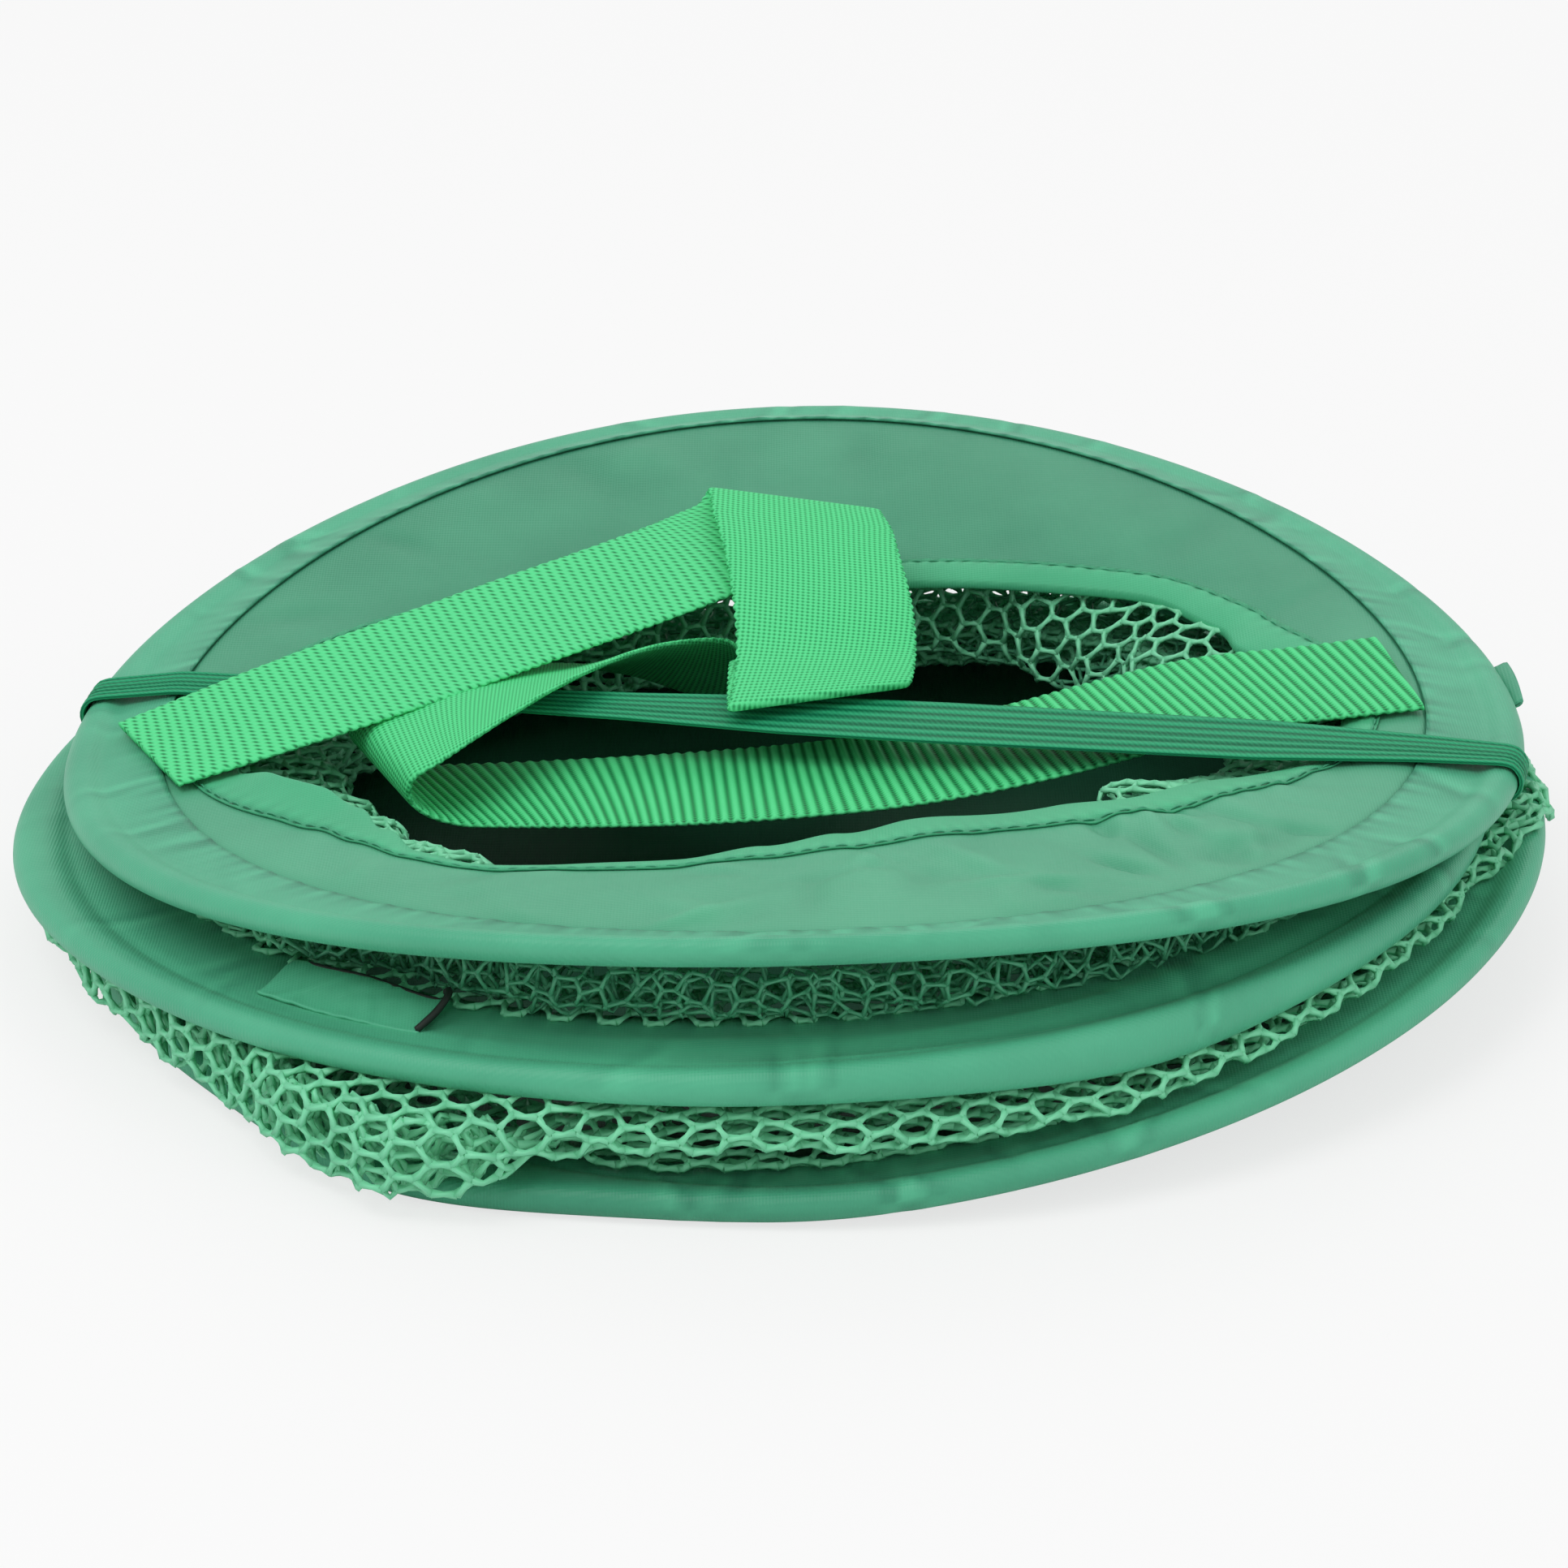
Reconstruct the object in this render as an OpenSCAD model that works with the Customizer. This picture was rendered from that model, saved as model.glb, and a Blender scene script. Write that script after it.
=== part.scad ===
// Folding crab trap, packed flat and held shut by its elastic band.
// Three spring-wire hoops lie in fabric sleeves. A net wall joins each hoop to the next, a fabric
// floor closes the bottom, and a collar with a hemmed opening closes the top. A webbing carry strap
// is sewn to the collar seam at both sides and lies folded over the opening.
// Millimetres, +Z up. The origin is on the ground, below the middle of the top hoop.

/* [Hoops] */
// Outside diameter of a hoop, over its sleeve
hoop_d = 300; // [270:5:340]
// Diameter of the spring wire
wire_d = 2; // [1.6:0.1:2.2]
// Diameter of the round bead that the sleeve makes over the wire
bead_d = 6; // [5.8:0.2:7]
// Length of the crimped ferrule that joins the two ends of a wire
ferrule_l = 10; // [8:1:14]
// Outside diameter of the ferrule
ferrule_d = 3; // [2.8:0.1:3.1]

/* [Stack] */
// Height of the top wire at the front and the back
top_h = 50.5; // [48:0.5:60]
// How much higher the top hoop lies at the right than at the left, halved
top_tilt = 4; // [0:0.5:5]
// How far the band bends the two ends of the top hoop down
top_dip = 18; // [14:1:19]
// Height of the middle wire at the front and the back
mid_h = 27; // [26:0.5:29]
// How much higher the middle hoop lies at the right than at the left, halved
mid_tilt = 6; // [5:0.5:6.5]
// How far the two ends of the middle hoop bend down
mid_dip = 3.5; // [3:0.5:5]
// How far the right end of the bottom hoop is drawn up
base_lift = 18.5; // [10:0.5:19]
// Sideways place of the middle hoop under the top one
mid_shift_x = -7; // [-7:0.5:0]
// Front-to-back place of the middle hoop under the top one
mid_shift_y = -5.5; // [-7:0.5:0]
// Sideways place of the bottom hoop under the top one
base_shift_x = 4; // [0:0.5:7]
// Front-to-back place of the bottom hoop under the top one
base_shift_y = -8; // [-9:0.5:-3]

/* [Sleeves] */
// Width of the top sleeve, from its outer edge to the collar seam
top_sleeve_w = 20; // [16:1:22]
// Width of the middle sleeve, a wide band
mid_sleeve_w = 28; // [24:1:30]
// Width of the bottom sleeve
base_sleeve_w = 20; // [16:1:22]
// Thickness of one sleeve layer
lip_t = 0.6; // [0.4:0.1:0.8]
// How far the back of the collar seam stands above the hoop, and the front of it below
seam_rise = 5; // [0:0.5:6]
// Depth of the seam allowance that a sleeve holds between its two layers
seam_tuck = 4; // [3:0.5:6]

/* [Collar and floor] */
// Thickness of the collar and the floor cloth
cloth_t = 0.8; // [0.5:0.1:1]
// How far inside the hoop's outer edge the oval opening ends, at its two long ends
opening_in_ends = 35; // [30:1:60]
// How far inside the hoop's outer edge it lies at the front and back, if centred
opening_in_sides = 75; // [72:1:95]
// How far the opening lies to the right of the middle of the hoop
opening_right = -2.5; // [-4:0.5:3]
// How far the opening lies in front of the middle of the hoop
opening_forward = 5; // [0:1:12]
// How far the opening's long way is turned from left and right, in degrees
opening_turn = 4; // [0:1:7]
// How far the opening's edge sags below the hoop at the two ends
side_sag = 6.5; // [3:0.5:7]
// How much further it sags at the back
back_sag = 6; // [0:0.5:8]
// How much further it sags at the front
front_sag = 3.5; // [0:0.5:6]
// Width of the hem round the opening
hem_w = 8; // [6:1:12]
// Thickness of the hem cloth
hem_t = 0.5; // [0.3:0.1:0.8]
// How far inside the bottom hoop's outer edge the floor starts to rise from the ground
floor_rise_in = 65; // [50:5:90]

/* [Net walls] */
// Thickness that the folded net takes up
net_t = 0.6; // [0.4:0.1:0.8]
// How far inside the hoops' outer edge the inner folds of the net lie
fold_in = 50; // [42:1:54]
// How far inside the hoops' outer edge the outer fold of the upper net lies
fold_out = 16; // [15:1:24]
// How far the lower net stands out past the hoops
net_proud = 1; // [0:0.5:3]
// How far the lower net flops out at the front left
net_bulge = 13; // [0:1:16]
// Direction of that bulge
net_bulge_a = 242; // [220:2:250]
// Half spread of that bulge, in degrees
net_bulge_spread = 22; // [14:1:32]

/* [Strap and band] */
// Width of the carry strap webbing
strap_w = 38; // [30:1:40]
// Thickness of the carry strap webbing
strap_t = 1.6; // [1:0.1:2]
// Width of the elastic band
band_w = 20; // [15:1:22]
// Thickness of the elastic band
band_t = 1; // [0.8:0.1:1.4]
// Length of the rim tab
tab_l = 7; // [5:0.5:9]

/* [Hidden] */

wire_r = hoop_d / 2 - bead_d / 2;  // radius of each wire's centre line
bead_r = bead_d / 2;
fit = 0.1;                         // cloth sandwiched between two layers
free = 0.3;                        // soft pieces that only lie on each other
flat_half = cloth_t / 2 + fit + lip_t;  // half the height of a sleeve's flat part
bore_r = ferrule_d / 2 + 0.2;      // room for the wire and its ferrule in the bead
opening_l = hoop_d - 2 * opening_in_ends;
opening_w = hoop_d - 2 * opening_in_sides;
fold_in_r = hoop_d / 2 - fold_in;
fold_out_r = hoop_d / 2 - fold_out;
floor_flat_r = hoop_d / 2 - floor_rise_in;
steps = 60;                        // facets round a hoop
turn = 360 / steps;
join_a = 15.5 * turn;              // the ferrules lie at the back, in the middle of a facet
wire_gap = 0.6;                    // gap between a wire's two ends, inside the ferrule
base_h = bead_r;                   // the bottom bead lies on the ground

// The three levels of the stack
BASE = 0;
MID = 1;
TOP = 2;
shift = [[base_shift_x, base_shift_y], [mid_shift_x, mid_shift_y], [0, 0]];
seam_r = [hoop_d / 2 - base_sleeve_w, hoop_d / 2 - mid_sleeve_w, hoop_d / 2 - top_sleeve_w];

// Height of a hoop's own surface at x, measured from the hoop's centre. The top and middle hoops
// are bent down at both ends, and the bottom one lies flat on the left and is drawn up on the right.
function level(k, x) =
    let (u = x / wire_r)
    k == TOP ? top_h + top_tilt * u - top_dip * u * u
    : k == MID ? mid_h + mid_tilt * u - mid_dip * u * u
    : base_h + base_lift * (u + sqrt(u * u + 0.01)) / 2;

// Tilt of the collar seam out of the hoop's surface, from nothing at the wire to all at the seam
function rise(k, a, r) = k == TOP ? seam_rise * sin(a) * (wire_r - r) / (wire_r - seam_r[TOP]) : 0;

// A point of a hoop's surface at angle a and radius r, up above it
function seat(k, a, r, up = 0) =
    [shift[k][0] + r * cos(a), shift[k][1] + r * sin(a), level(k, r * cos(a)) + rise(k, a, r) + up];

function unit(v) = v / norm(v);

// Solid through a row of rings with the same number of points. A closed row joins up with itself.
module loft(rings, closed = false) {
    n = len(rings);
    m = len(rings[0]);
    walls = [for (i = [0 : n - (closed ? 1 : 2)], j = [0 : m - 1])
        let (a = i * m + j, b = i * m + (j + 1) % m,
             c = ((i + 1) % n) * m + (j + 1) % m, d = ((i + 1) % n) * m + j)
        each [[a, b, c], [a, c, d]]];
    ends = closed ? [] : concat(
        [for (j = [1 : m - 2]) [0, j + 1, j]],
        [for (j = [1 : m - 2]) let (s = (n - 1) * m) [s, s + j, s + j + 1]]);
    polyhedron(points = [for (ring = rings) each ring], faces = concat(walls, ends));
}

// A point on the straight stretch of wire inside the ferrule
function join_way(k) = unit(seat(k, join_a + turn / 2, wire_r) - seat(k, join_a - turn / 2, wire_r));
function join_spot(k, along) =
    (seat(k, join_a + turn / 2, wire_r) + seat(k, join_a - turn / 2, wire_r)) / 2 + along * join_way(k);

// Round wire along a hoop, open at the ferrule
module hoop_wire(k) {
    spots = concat([[join_a, join_spot(k, wire_gap / 2)]],
                   [for (i = [0 : steps - 1]) let (a = join_a + (i + 0.5) * turn) [a, seat(k, a, wire_r)]],
                   [[join_a, join_spot(k, -wire_gap / 2)]]);
    loft([for (q = spots)
        [for (b = [0 : 60 : 300]) q[1] + wire_d / 2 * [cos(b) * cos(q[0]), cos(b) * sin(q[0]), sin(b)]]]);
}

// Crimped tube over the two wire ends, in line with the wire
module hoop_ferrule(k) {
    way = join_way(k);
    translate(join_spot(k, 0))
        rotate([0, acos(way[2]), atan2(way[1], way[0])])
            difference() {
                cylinder(h = ferrule_l, d = ferrule_d, center = true, $fn = 32);
                cylinder(h = ferrule_l + 1, d = wire_d + 0.5, center = true, $fn = 32);
            }
}

// Strip of cloth folded round the wire: a bead with a bore, and two lips that hold a seam
module sleeve(k) {
    lip_in = cloth_t / 2 + fit;
    corner = bore_r / cos(45);  // the bore is four-sided
    lip_r = [seam_r[k] - wire_r, -bead_r - 1];
    section = concat(
        [for (b = [135, 45, -45, -135]) corner * [cos(b), sin(b)]],
        [[lip_r[1] + 0.6, -lip_in], [lip_r[0], -lip_in], [lip_r[0], -flat_half], [lip_r[1], -flat_half]],
        [for (b = [-125, -65, 0, 65, 125]) bead_r * [cos(b), sin(b)]],
        [[lip_r[1], flat_half], [lip_r[0], flat_half], [lip_r[0], lip_in], [lip_r[1] + 0.6, lip_in]]);
    loft([for (i = [0 : steps - 1]) let (a = i * turn)
        [for (q = section) seat(k, a, wire_r + q[0], q[1])]], closed = true);
}

// The collar runs from inside the top sleeve's lips down to the edge of the oval opening.
// Radius of the opening at angle a, the obliqueness of its edge there, and where the hem begins
function opening_r(a) =
    let (ox = opening_right / (opening_l / 2), oy = -opening_forward / (opening_w / 2),
         dx = cos(a - opening_turn) / (opening_l / 2), dy = sin(a - opening_turn) / (opening_w / 2),
         aa = dx * dx + dy * dy, bb = ox * dx + oy * dy)
    (bb + sqrt(bb * bb - aa * (ox * ox + oy * oy - 1))) / aa;
function opening_cos(a) =
    let (r = opening_r(a), c = cos(a - opening_turn), s = sin(a - opening_turn),
         nx = (r * c - opening_right) / pow(opening_l, 2),
         ny = (r * s + opening_forward) / pow(opening_w, 2))
    (nx * c + ny * s) / norm([nx, ny]);
function hem_r(a) = opening_r(a) + hem_w / opening_cos(a);

// Point of the collar at angle a and radius r, up above it
function collar_sag(a) = side_sag + (sin(a) > 0 ? back_sag : front_sag) * pow(sin(a), 2);
function collar(a, r, up = 0) =
    let (t = (seam_r[TOP] - r) / (seam_r[TOP] - opening_r(a)))
    [r * cos(a), r * sin(a), level(TOP, r * cos(a)) + (1 - t) * seam_rise * sin(a)
        - collar_sag(a) * pow(max(t, 0), 1.5) + up];

module cloth_ring(inner_rows) {
    loft([for (i = [0 : steps - 1]) let (a = i * turn, row = inner_rows(a), n = len(row))
        [for (j = [0 : 2 * n - 1])
            row[j < n ? j : 2 * n - 1 - j] + [0, 0, j < n ? cloth_t / 2 : -cloth_t / 2]]],
        closed = true);
}

// Folded net wall. At each angle it runs through [radius, height, share of the way down] points,
// and its centre moves from the hoop above to the hoop below with the share.
function fold_normal(p, i) =
    let (n = len(p), u = unit(p[max(i, 1)] - p[max(i, 1) - 1]),
         v = unit(p[min(i + 1, n - 1)] - p[min(i + 1, n - 1) - 1]), w = unit(u + v))
    [-w[1], w[0]] / max(w * u, 0.5);

module net_wall(upper, lower, folds) {
    loft([for (i = [0 : steps - 1])
        let (a = i * turn, list = folds(a), n = len(list), line = [for (q = list) [q[0], q[1]]])
        [for (j = [0 : 2 * n - 1])
            let (s = j < n ? j : 2 * n - 1 - j, side = j < n ? -1 : 1, t = list[s][2],
                 q = line[s] + side * net_t / 2 * fold_normal(line, s),
                 c = (1 - t) * shift[upper] + t * shift[lower])
            [c[0] + q[0] * cos(a), c[1] + q[0] * sin(a), q[1]]]],
        closed = true);
}
net_gap = free + net_t / 2;
function under_sleeve(k, a, r) = seat(k, a, r)[2] - flat_half - net_gap;
function over_sleeve(k, a, r) = seat(k, a, r)[2] + flat_half + net_gap;
function under_collar(a, r) = collar(a, r)[2] - flat_half - net_gap - fit;

// Ribbon of thickness t through pairs of edge points
function spline(p, s) =
    let (n = len(p), i = min(floor(s), n - 2), t = s - i, b = p[i], c = p[i + 1],
         a = i > 0 ? p[i - 1] : 2 * b - c, d = i < n - 2 ? p[i + 2] : 2 * c - b)
    b + 0.5 * t * (c - a + t * (2 * a - 5 * b + 4 * c - d + t * (3 * b - a - 3 * c + d)));

module ribbon(left, right, t, parts) {
    n = (len(left) - 1) * parts;
    loft([for (i = [0 : n])
        let (l = spline(left, i / parts), r = spline(right, i / parts),
             ahead = spline(left + right, min(i / parts + 0.05, len(left) - 1))
                   - spline(left + right, max(i / parts - 0.05, 0)),
             up = t / 2 * unit(cross(ahead, l - r)))
        [l + up, l - up, r - up, r + up]]);
}

// Edge points of the strap, from its left end over the fold, under the curl, back to the left
// and across to its right end, for 38 mm webbing on a collar seam of radius 130
strap_edge_1 = [[-139.5, -1, 34], [-108, 17, 41], [-72, 41, 46.5], [-38, 64, 51], [-23, 77, 53],
    [-20, 82, 55], [-19, 77, 57], [-15, 52, 55], [-12.5, 30, 50.5], [-11.5, 10, 45],
    [-13, -13.6, 42.4], [-13, 12, 42.2], [-11, 22, 37.5], [-14, 30, 40.5], [-30, 18, 43.5],
    [-48, -6.2, 44.8], [-62, -26, 42.6], [-70, -34, 39.8], [-76, -37, 36.6], [-76, -35, 30.4],
    [-69, -36, 27], [-57, -38, 27], [-18, -41, 29], [22, -37, 31], [53, -28, 33.5], [89, -14, 37.5],
    [113, -13, 40.5], [129, -12, 42]];
strap_edge_2 = [[-123, -36, 35.2], [-86, -14, 39.5], [-51, 10, 43.5], [-17, 33, 48], [13, 58, 52],
    [19.5, 67, 55], [20.5, 62, 57], [22.5, 45, 55], [25, 25, 50.5], [25.5, 12, 45],
    [24, -0.5, 42.6], [23, 25, 37], [14, 46, 24], [-10, 57, 14.5], [-36, 50, 25], [-51, 23.5, 37.2],
    [-66, 8.5, 40.6], [-81, 1.5, 39.2], [-90, -3, 37.7], [-91, -3, 32], [-82, -2, 26],
    [-68, -3, 25.5], [-17, -3, 28.5], [19, 1, 31], [45, 9, 34], [80, 23, 38], [106, 24, 41],
    [123, 24, 43.3]];
function strap_side(side) = [for (i = [0 : len(strap_edge_1) - 1])
    let (mid = (strap_edge_1[i] + strap_edge_2[i]) / 2, half = (strap_edge_2[i] - strap_edge_1[i]) / 2,
         k = seam_r[TOP] / 130)
    [mid[0] * k, mid[1] * k, mid[2] + top_h - 50.5] + side * half * strap_w / 38];

// The band lies along a straight line over the top hoop. It bends over the collar seam at each
// side, turns down round the bead and ends on the middle sleeve. Places on it are measured
// along that line (s) and across it (e).
band_left_a = 172;
band_right_a = -14;
band_r = bead_r + 0.8 + band_t / 2;
band_way = unit([cos(band_right_a) - cos(band_left_a), sin(band_right_a) - sin(band_left_a)]);
band_side = [-band_way[1], band_way[0]];
band_off = wire_r * [cos(band_left_a), sin(band_left_a)] * band_side;
function band_xy(s, e) = s * band_way + (band_off + e) * band_side;
function band_reach(e, r) = sqrt(r * r - pow(band_off + e, 2));

// Height of the middle sleeve's top at a place, with the bead's flanks filled in
function mid_cover(q) =
    let (x = q[0] - mid_shift_x, off = abs(norm([x, q[1] - mid_shift_y]) - wire_r))
    level(MID, x) + flat_half + (bead_r - flat_half) * min(max((bead_r + 1.5 - off) / 3, 0), 1);

// One edge of the band at the left (side = -1) or right rim, from its sewn end up to the seam
function band_end(side, e, ins) =
    let (rim_s = band_reach(e, wire_r), rim_z = level(TOP, band_xy(side * rim_s, e)[0]),
         seam = band_xy(side * band_reach(e, seam_r[TOP] + 0.5), e))
    concat(
        [for (in = ins) let (q = band_xy(side * (rim_s - in), e))
            [q[0], q[1], mid_cover(q) + 0.5 + band_t / 2]],
        [for (b = [-75, -38, 0, 38, 75])
            let (q = band_xy(side * (rim_s + band_r * cos(b)), e)) [q[0], q[1], rim_z + band_r * sin(b)]],
        [[seam[0], seam[1], level(TOP, seam[0]) + seam_rise * seam[1] / norm(seam) + flat_half + 2 * free
            + band_t / 2]]);
function band_edge(e) =
    let (left = band_end(-1, e, [12, 8, 4]), right = band_end(1, e, [12, 9, 6, 3]), n = 6,
         from = left[len(left) - 1], to = right[len(right) - 1])
    concat(left, [for (i = [1 : n - 1]) from + (to - from) * i / n],
           [for (i = [len(right) - 1 : -1 : 0]) right[i]]);

module top_hoop() {
    color([0.6, 0.62, 0.64]) hoop_wire(TOP);
}

module top_ferrule() {
    color([0.75, 0.76, 0.78]) hoop_ferrule(TOP);
}

module top_sleeve() {
    color([0.25, 0.64, 0.48]) sleeve(TOP);
}

module top_collar() {
    color([0.25, 0.62, 0.47])
        cloth_ring(function (a) [for (r = [seam_r[TOP] + seam_tuck, seam_r[TOP],
                                          0.55 * seam_r[TOP] + 0.45 * hem_r(a), hem_r(a), opening_r(a)])
            r > seam_r[TOP] ? seat(TOP, a, r) : collar(a, r)]);
}

// The hem is folded over the opening's edge and stitched through the collar
function hem(a, r, up) =
    let (far = collar(a, hem_r(a)), near = collar(a, opening_r(a)),
         t = (hem_r(a) - r) / (hem_r(a) - opening_r(a)))
    far + t * (near - far) + [0, 0, up];
module opening_hem() {
    gap = 3 * fit;
    inner = cloth_t / 2 + gap;
    outer = inner + hem_t;
    color([0.3, 0.68, 0.5])
        loft([for (i = [0 : steps - 1])
            let (a = i * turn, far = hem_r(a), edge = opening_cos(a),
                 fold = opening_r(a) - (gap + hem_t) / edge, bend = opening_r(a) - gap / edge)
            [hem(a, far, inner), hem(a, far, outer), hem(a, fold, outer), hem(a, fold, -outer),
             hem(a, far, -outer), hem(a, far, -inner), hem(a, bend, -inner), hem(a, bend, inner)]],
            closed = true);
}

module carry_strap() {
    color([0.3, 0.85, 0.47]) ribbon(strap_side(-1), strap_side(1), strap_t, 3);
}

// Folded tab sewn to the rim of the top sleeve, at the right
module rim_tab() {
    tab_a = 9;
    tab_w = 9;
    tab_t = 1.2;
    color([0.28, 0.66, 0.5])
        translate(seat(TOP, tab_a, wire_r + bead_r + fit))
            rotate([0, 0, tab_a])
                translate([0, -tab_w / 2, -tab_t / 2])
                    cube([tab_l, tab_w, tab_t]);
}

// From the top sleeve's seam in under the collar and the hem, then out and in again, down to the
// middle sleeve
module upper_net() {
    color([0.45, 0.82, 0.58])
        net_wall(TOP, MID, function (a)
            let (r0 = seam_r[TOP] + seam_tuck, near = opening_r(a),
                 r1 = near > fold_in_r + 3 ? near - 1 : fold_in_r + 9,
                 r2 = seam_r[MID] + seam_tuck, z1 = under_collar(a, r1),
                 z2 = over_sleeve(MID, a, r2), d = z1 - z2,
                 z_in = min(z1, under_collar(a, max(fold_in_r, near)) - 0.4) - 0.03 * d,
                 z_low = max(z1 - 0.93 * d, over_sleeve(MID, a, seam_r[MID]) + 0.1))
            [[r0, under_sleeve(TOP, a, r0), 0], [seam_r[TOP] - 0.5, under_sleeve(TOP, a, seam_r[TOP]), 0.02],
             [r1, z1, 0.05], [fold_in_r, z_in, 0.1], [fold_in_r, z_in - 0.22 * d, 0.3],
             [fold_out_r, z_in - 0.35 * d, 0.45], [fold_out_r, z_in - 0.55 * d, 0.6],
             [fold_in_r, z_in - 0.65 * d, 0.75], [fold_in_r, z_low, 0.9], [r2, z2, 1]]);
}

module mid_hoop() {
    color([0.6, 0.62, 0.64]) hoop_wire(MID);
}

module mid_ferrule() {
    color([0.75, 0.76, 0.78]) hoop_ferrule(MID);
}

module mid_sleeve() {
    color([0.22, 0.58, 0.44]) sleeve(MID);
}

// Lapped end of the middle sleeve's cloth, lying on the sleeve at the front left with its inner
// edge a little raised
lap_from = 228;
lap_turn = 3;  // between two sections
lap_w = 9;
lap_raise = 1.2;
lap_r = wire_r - bead_r - lap_w - 6;
module sleeve_lap() {
    color([0.24, 0.6, 0.46])
        loft([for (i = [0 : 5]) let (a = lap_from + i * lap_turn)
            [for (q = [[0, 0], [0.5, 0], [1, 0], [1, 1], [0.5, 1], [0, 1]])
                seat(MID, a, lap_r + q[0] * lap_w,
                     flat_half + 2 * fit + (1 - q[0]) * lap_raise + q[1] * cloth_t)]]);
}

// Short end of dark thread that hangs out of the lap's seam and lies on the sleeve
module thread_tail() {
    tail_d = 1.6;
    tail_a = lap_from + 5 * lap_turn + 1.2;
    up = flat_half + free + tail_d / 2;
    color([0.05, 0.06, 0.05])
        loft([for (q = [[0, lap_raise], [0.4, lap_raise], [1, 0]])
            let (p = seat(MID, tail_a, lap_r + q[0] * lap_w, up + q[1]))
            [for (j = [0 : 5]) p + tail_d / 2 * [cos(-60 * j), 0.4 * sin(-60 * j), sin(-60 * j)]]]);
}

module lower_net() {
    color([0.45, 0.82, 0.58])
        net_wall(MID, BASE, function (a)
            let (off = (a - net_bulge_a) / net_bulge_spread, flop = exp(-off * off),
                 out = hoop_d / 2 + net_proud + net_bulge * flop, r0 = wire_r - bead_r - seam_tuck,
                 r2 = seam_r[BASE] + seam_tuck, z1 = seat(MID, a, wire_r)[2] - bead_r - net_gap,
                 z2 = over_sleeve(BASE, a, r2), d = z1 - z2)
            [[r0, under_sleeve(MID, a, r0), 0], [wire_r, z1, 0.02],
             [out, z1 - (0.02 + 0.4 * flop) * d, 0.2], [out, z1 - (0.25 + 0.6 * flop) * d, 0.4],
             [fold_in_r, z1 - (0.42 + 0.32 * flop) * d, 0.6],
             [fold_in_r, z1 - (0.68 + 0.22 * flop) * d, 0.8], [r2, z2, 1]]);
}

module base_hoop() {
    color([0.6, 0.62, 0.64]) hoop_wire(BASE);
}

module base_ferrule() {
    color([0.75, 0.76, 0.78]) hoop_ferrule(BASE);
}

module base_sleeve() {
    color([0.22, 0.58, 0.44]) sleeve(BASE);
}

// Floor cloth: flat on the ground in the middle, rising to the bottom sleeve's seam at the rim
module base_floor() {
    rim = seam_r[BASE];
    function floor_z(a, r) =
        let (t = min(max((r - floor_flat_r) / (rim - floor_flat_r), 0), 1))
        cloth_t / 2 + (seat(BASE, a, r)[2] - cloth_t / 2) * t * t;
    radii = [floor_flat_r, (rim + floor_flat_r * 2) / 3, (rim * 2 + floor_flat_r) / 3, rim, rim + seam_tuck];
    rows = concat([for (i = [0 : 4]) [radii[i], cloth_t / 2]],
                  [for (i = [4 : -1 : 0]) [radii[i], -cloth_t / 2]]);
    color([0.2, 0.55, 0.42])
        loft([for (q = rows)
            [for (i = [0 : steps - 1]) let (a = i * turn)
                [shift[BASE][0] + q[0] * cos(a), shift[BASE][1] + q[0] * sin(a), floor_z(a, q[0]) + q[1]]]]);
}

module retaining_band() {
    left = band_edge(band_w / 2);
    right = band_edge(-band_w / 2);
    n = len(left);
    color([0.08, 0.42, 0.28])
        loft([for (i = [0 : n - 1])
            let (ahead = left[min(i + 1, n - 1)] + right[min(i + 1, n - 1)]
                       - left[max(i - 1, 0)] - right[max(i - 1, 0)],
                 up = band_t / 2 * unit(cross(ahead, left[i] - right[i])))
            [left[i] + up, left[i] - up, right[i] - up, right[i] + up]]);
}

top_hoop();
top_ferrule();
top_sleeve();
top_collar();
opening_hem();
carry_strap();
rim_tab();
upper_net();
mid_hoop();
mid_ferrule();
mid_sleeve();
sleeve_lap();
thread_tail();
lower_net();
base_hoop();
base_ferrule();
base_sleeve();
base_floor();
retaining_band();
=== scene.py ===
import math

import bpy
import numpy as np
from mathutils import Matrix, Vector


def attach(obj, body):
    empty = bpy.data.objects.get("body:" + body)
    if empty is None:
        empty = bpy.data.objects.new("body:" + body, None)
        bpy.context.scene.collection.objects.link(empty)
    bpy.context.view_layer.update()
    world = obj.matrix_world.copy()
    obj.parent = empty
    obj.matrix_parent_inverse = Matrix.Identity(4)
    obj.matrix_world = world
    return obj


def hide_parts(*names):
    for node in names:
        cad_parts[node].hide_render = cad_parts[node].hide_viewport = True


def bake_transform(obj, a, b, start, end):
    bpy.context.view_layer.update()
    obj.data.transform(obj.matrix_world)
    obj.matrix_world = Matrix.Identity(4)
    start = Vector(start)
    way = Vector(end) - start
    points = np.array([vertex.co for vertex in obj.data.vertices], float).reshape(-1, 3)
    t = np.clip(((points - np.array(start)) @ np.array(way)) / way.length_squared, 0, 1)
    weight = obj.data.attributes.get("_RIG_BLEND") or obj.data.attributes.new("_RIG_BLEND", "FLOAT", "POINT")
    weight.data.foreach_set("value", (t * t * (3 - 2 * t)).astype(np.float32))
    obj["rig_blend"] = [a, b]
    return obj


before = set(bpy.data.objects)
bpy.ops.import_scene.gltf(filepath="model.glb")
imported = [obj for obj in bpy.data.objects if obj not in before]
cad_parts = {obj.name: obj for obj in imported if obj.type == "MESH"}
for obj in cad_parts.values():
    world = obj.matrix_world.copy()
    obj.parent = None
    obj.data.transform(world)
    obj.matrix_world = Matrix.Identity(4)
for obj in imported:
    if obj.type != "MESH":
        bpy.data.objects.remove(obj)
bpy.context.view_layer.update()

# ---- Camera, floor and light -----------------------------
# The trap stands on a pale floor in even studio light, seen from the front and a little above.
VIEW_TARGET = (-0.0018, 0.0, 0.0201)
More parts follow.
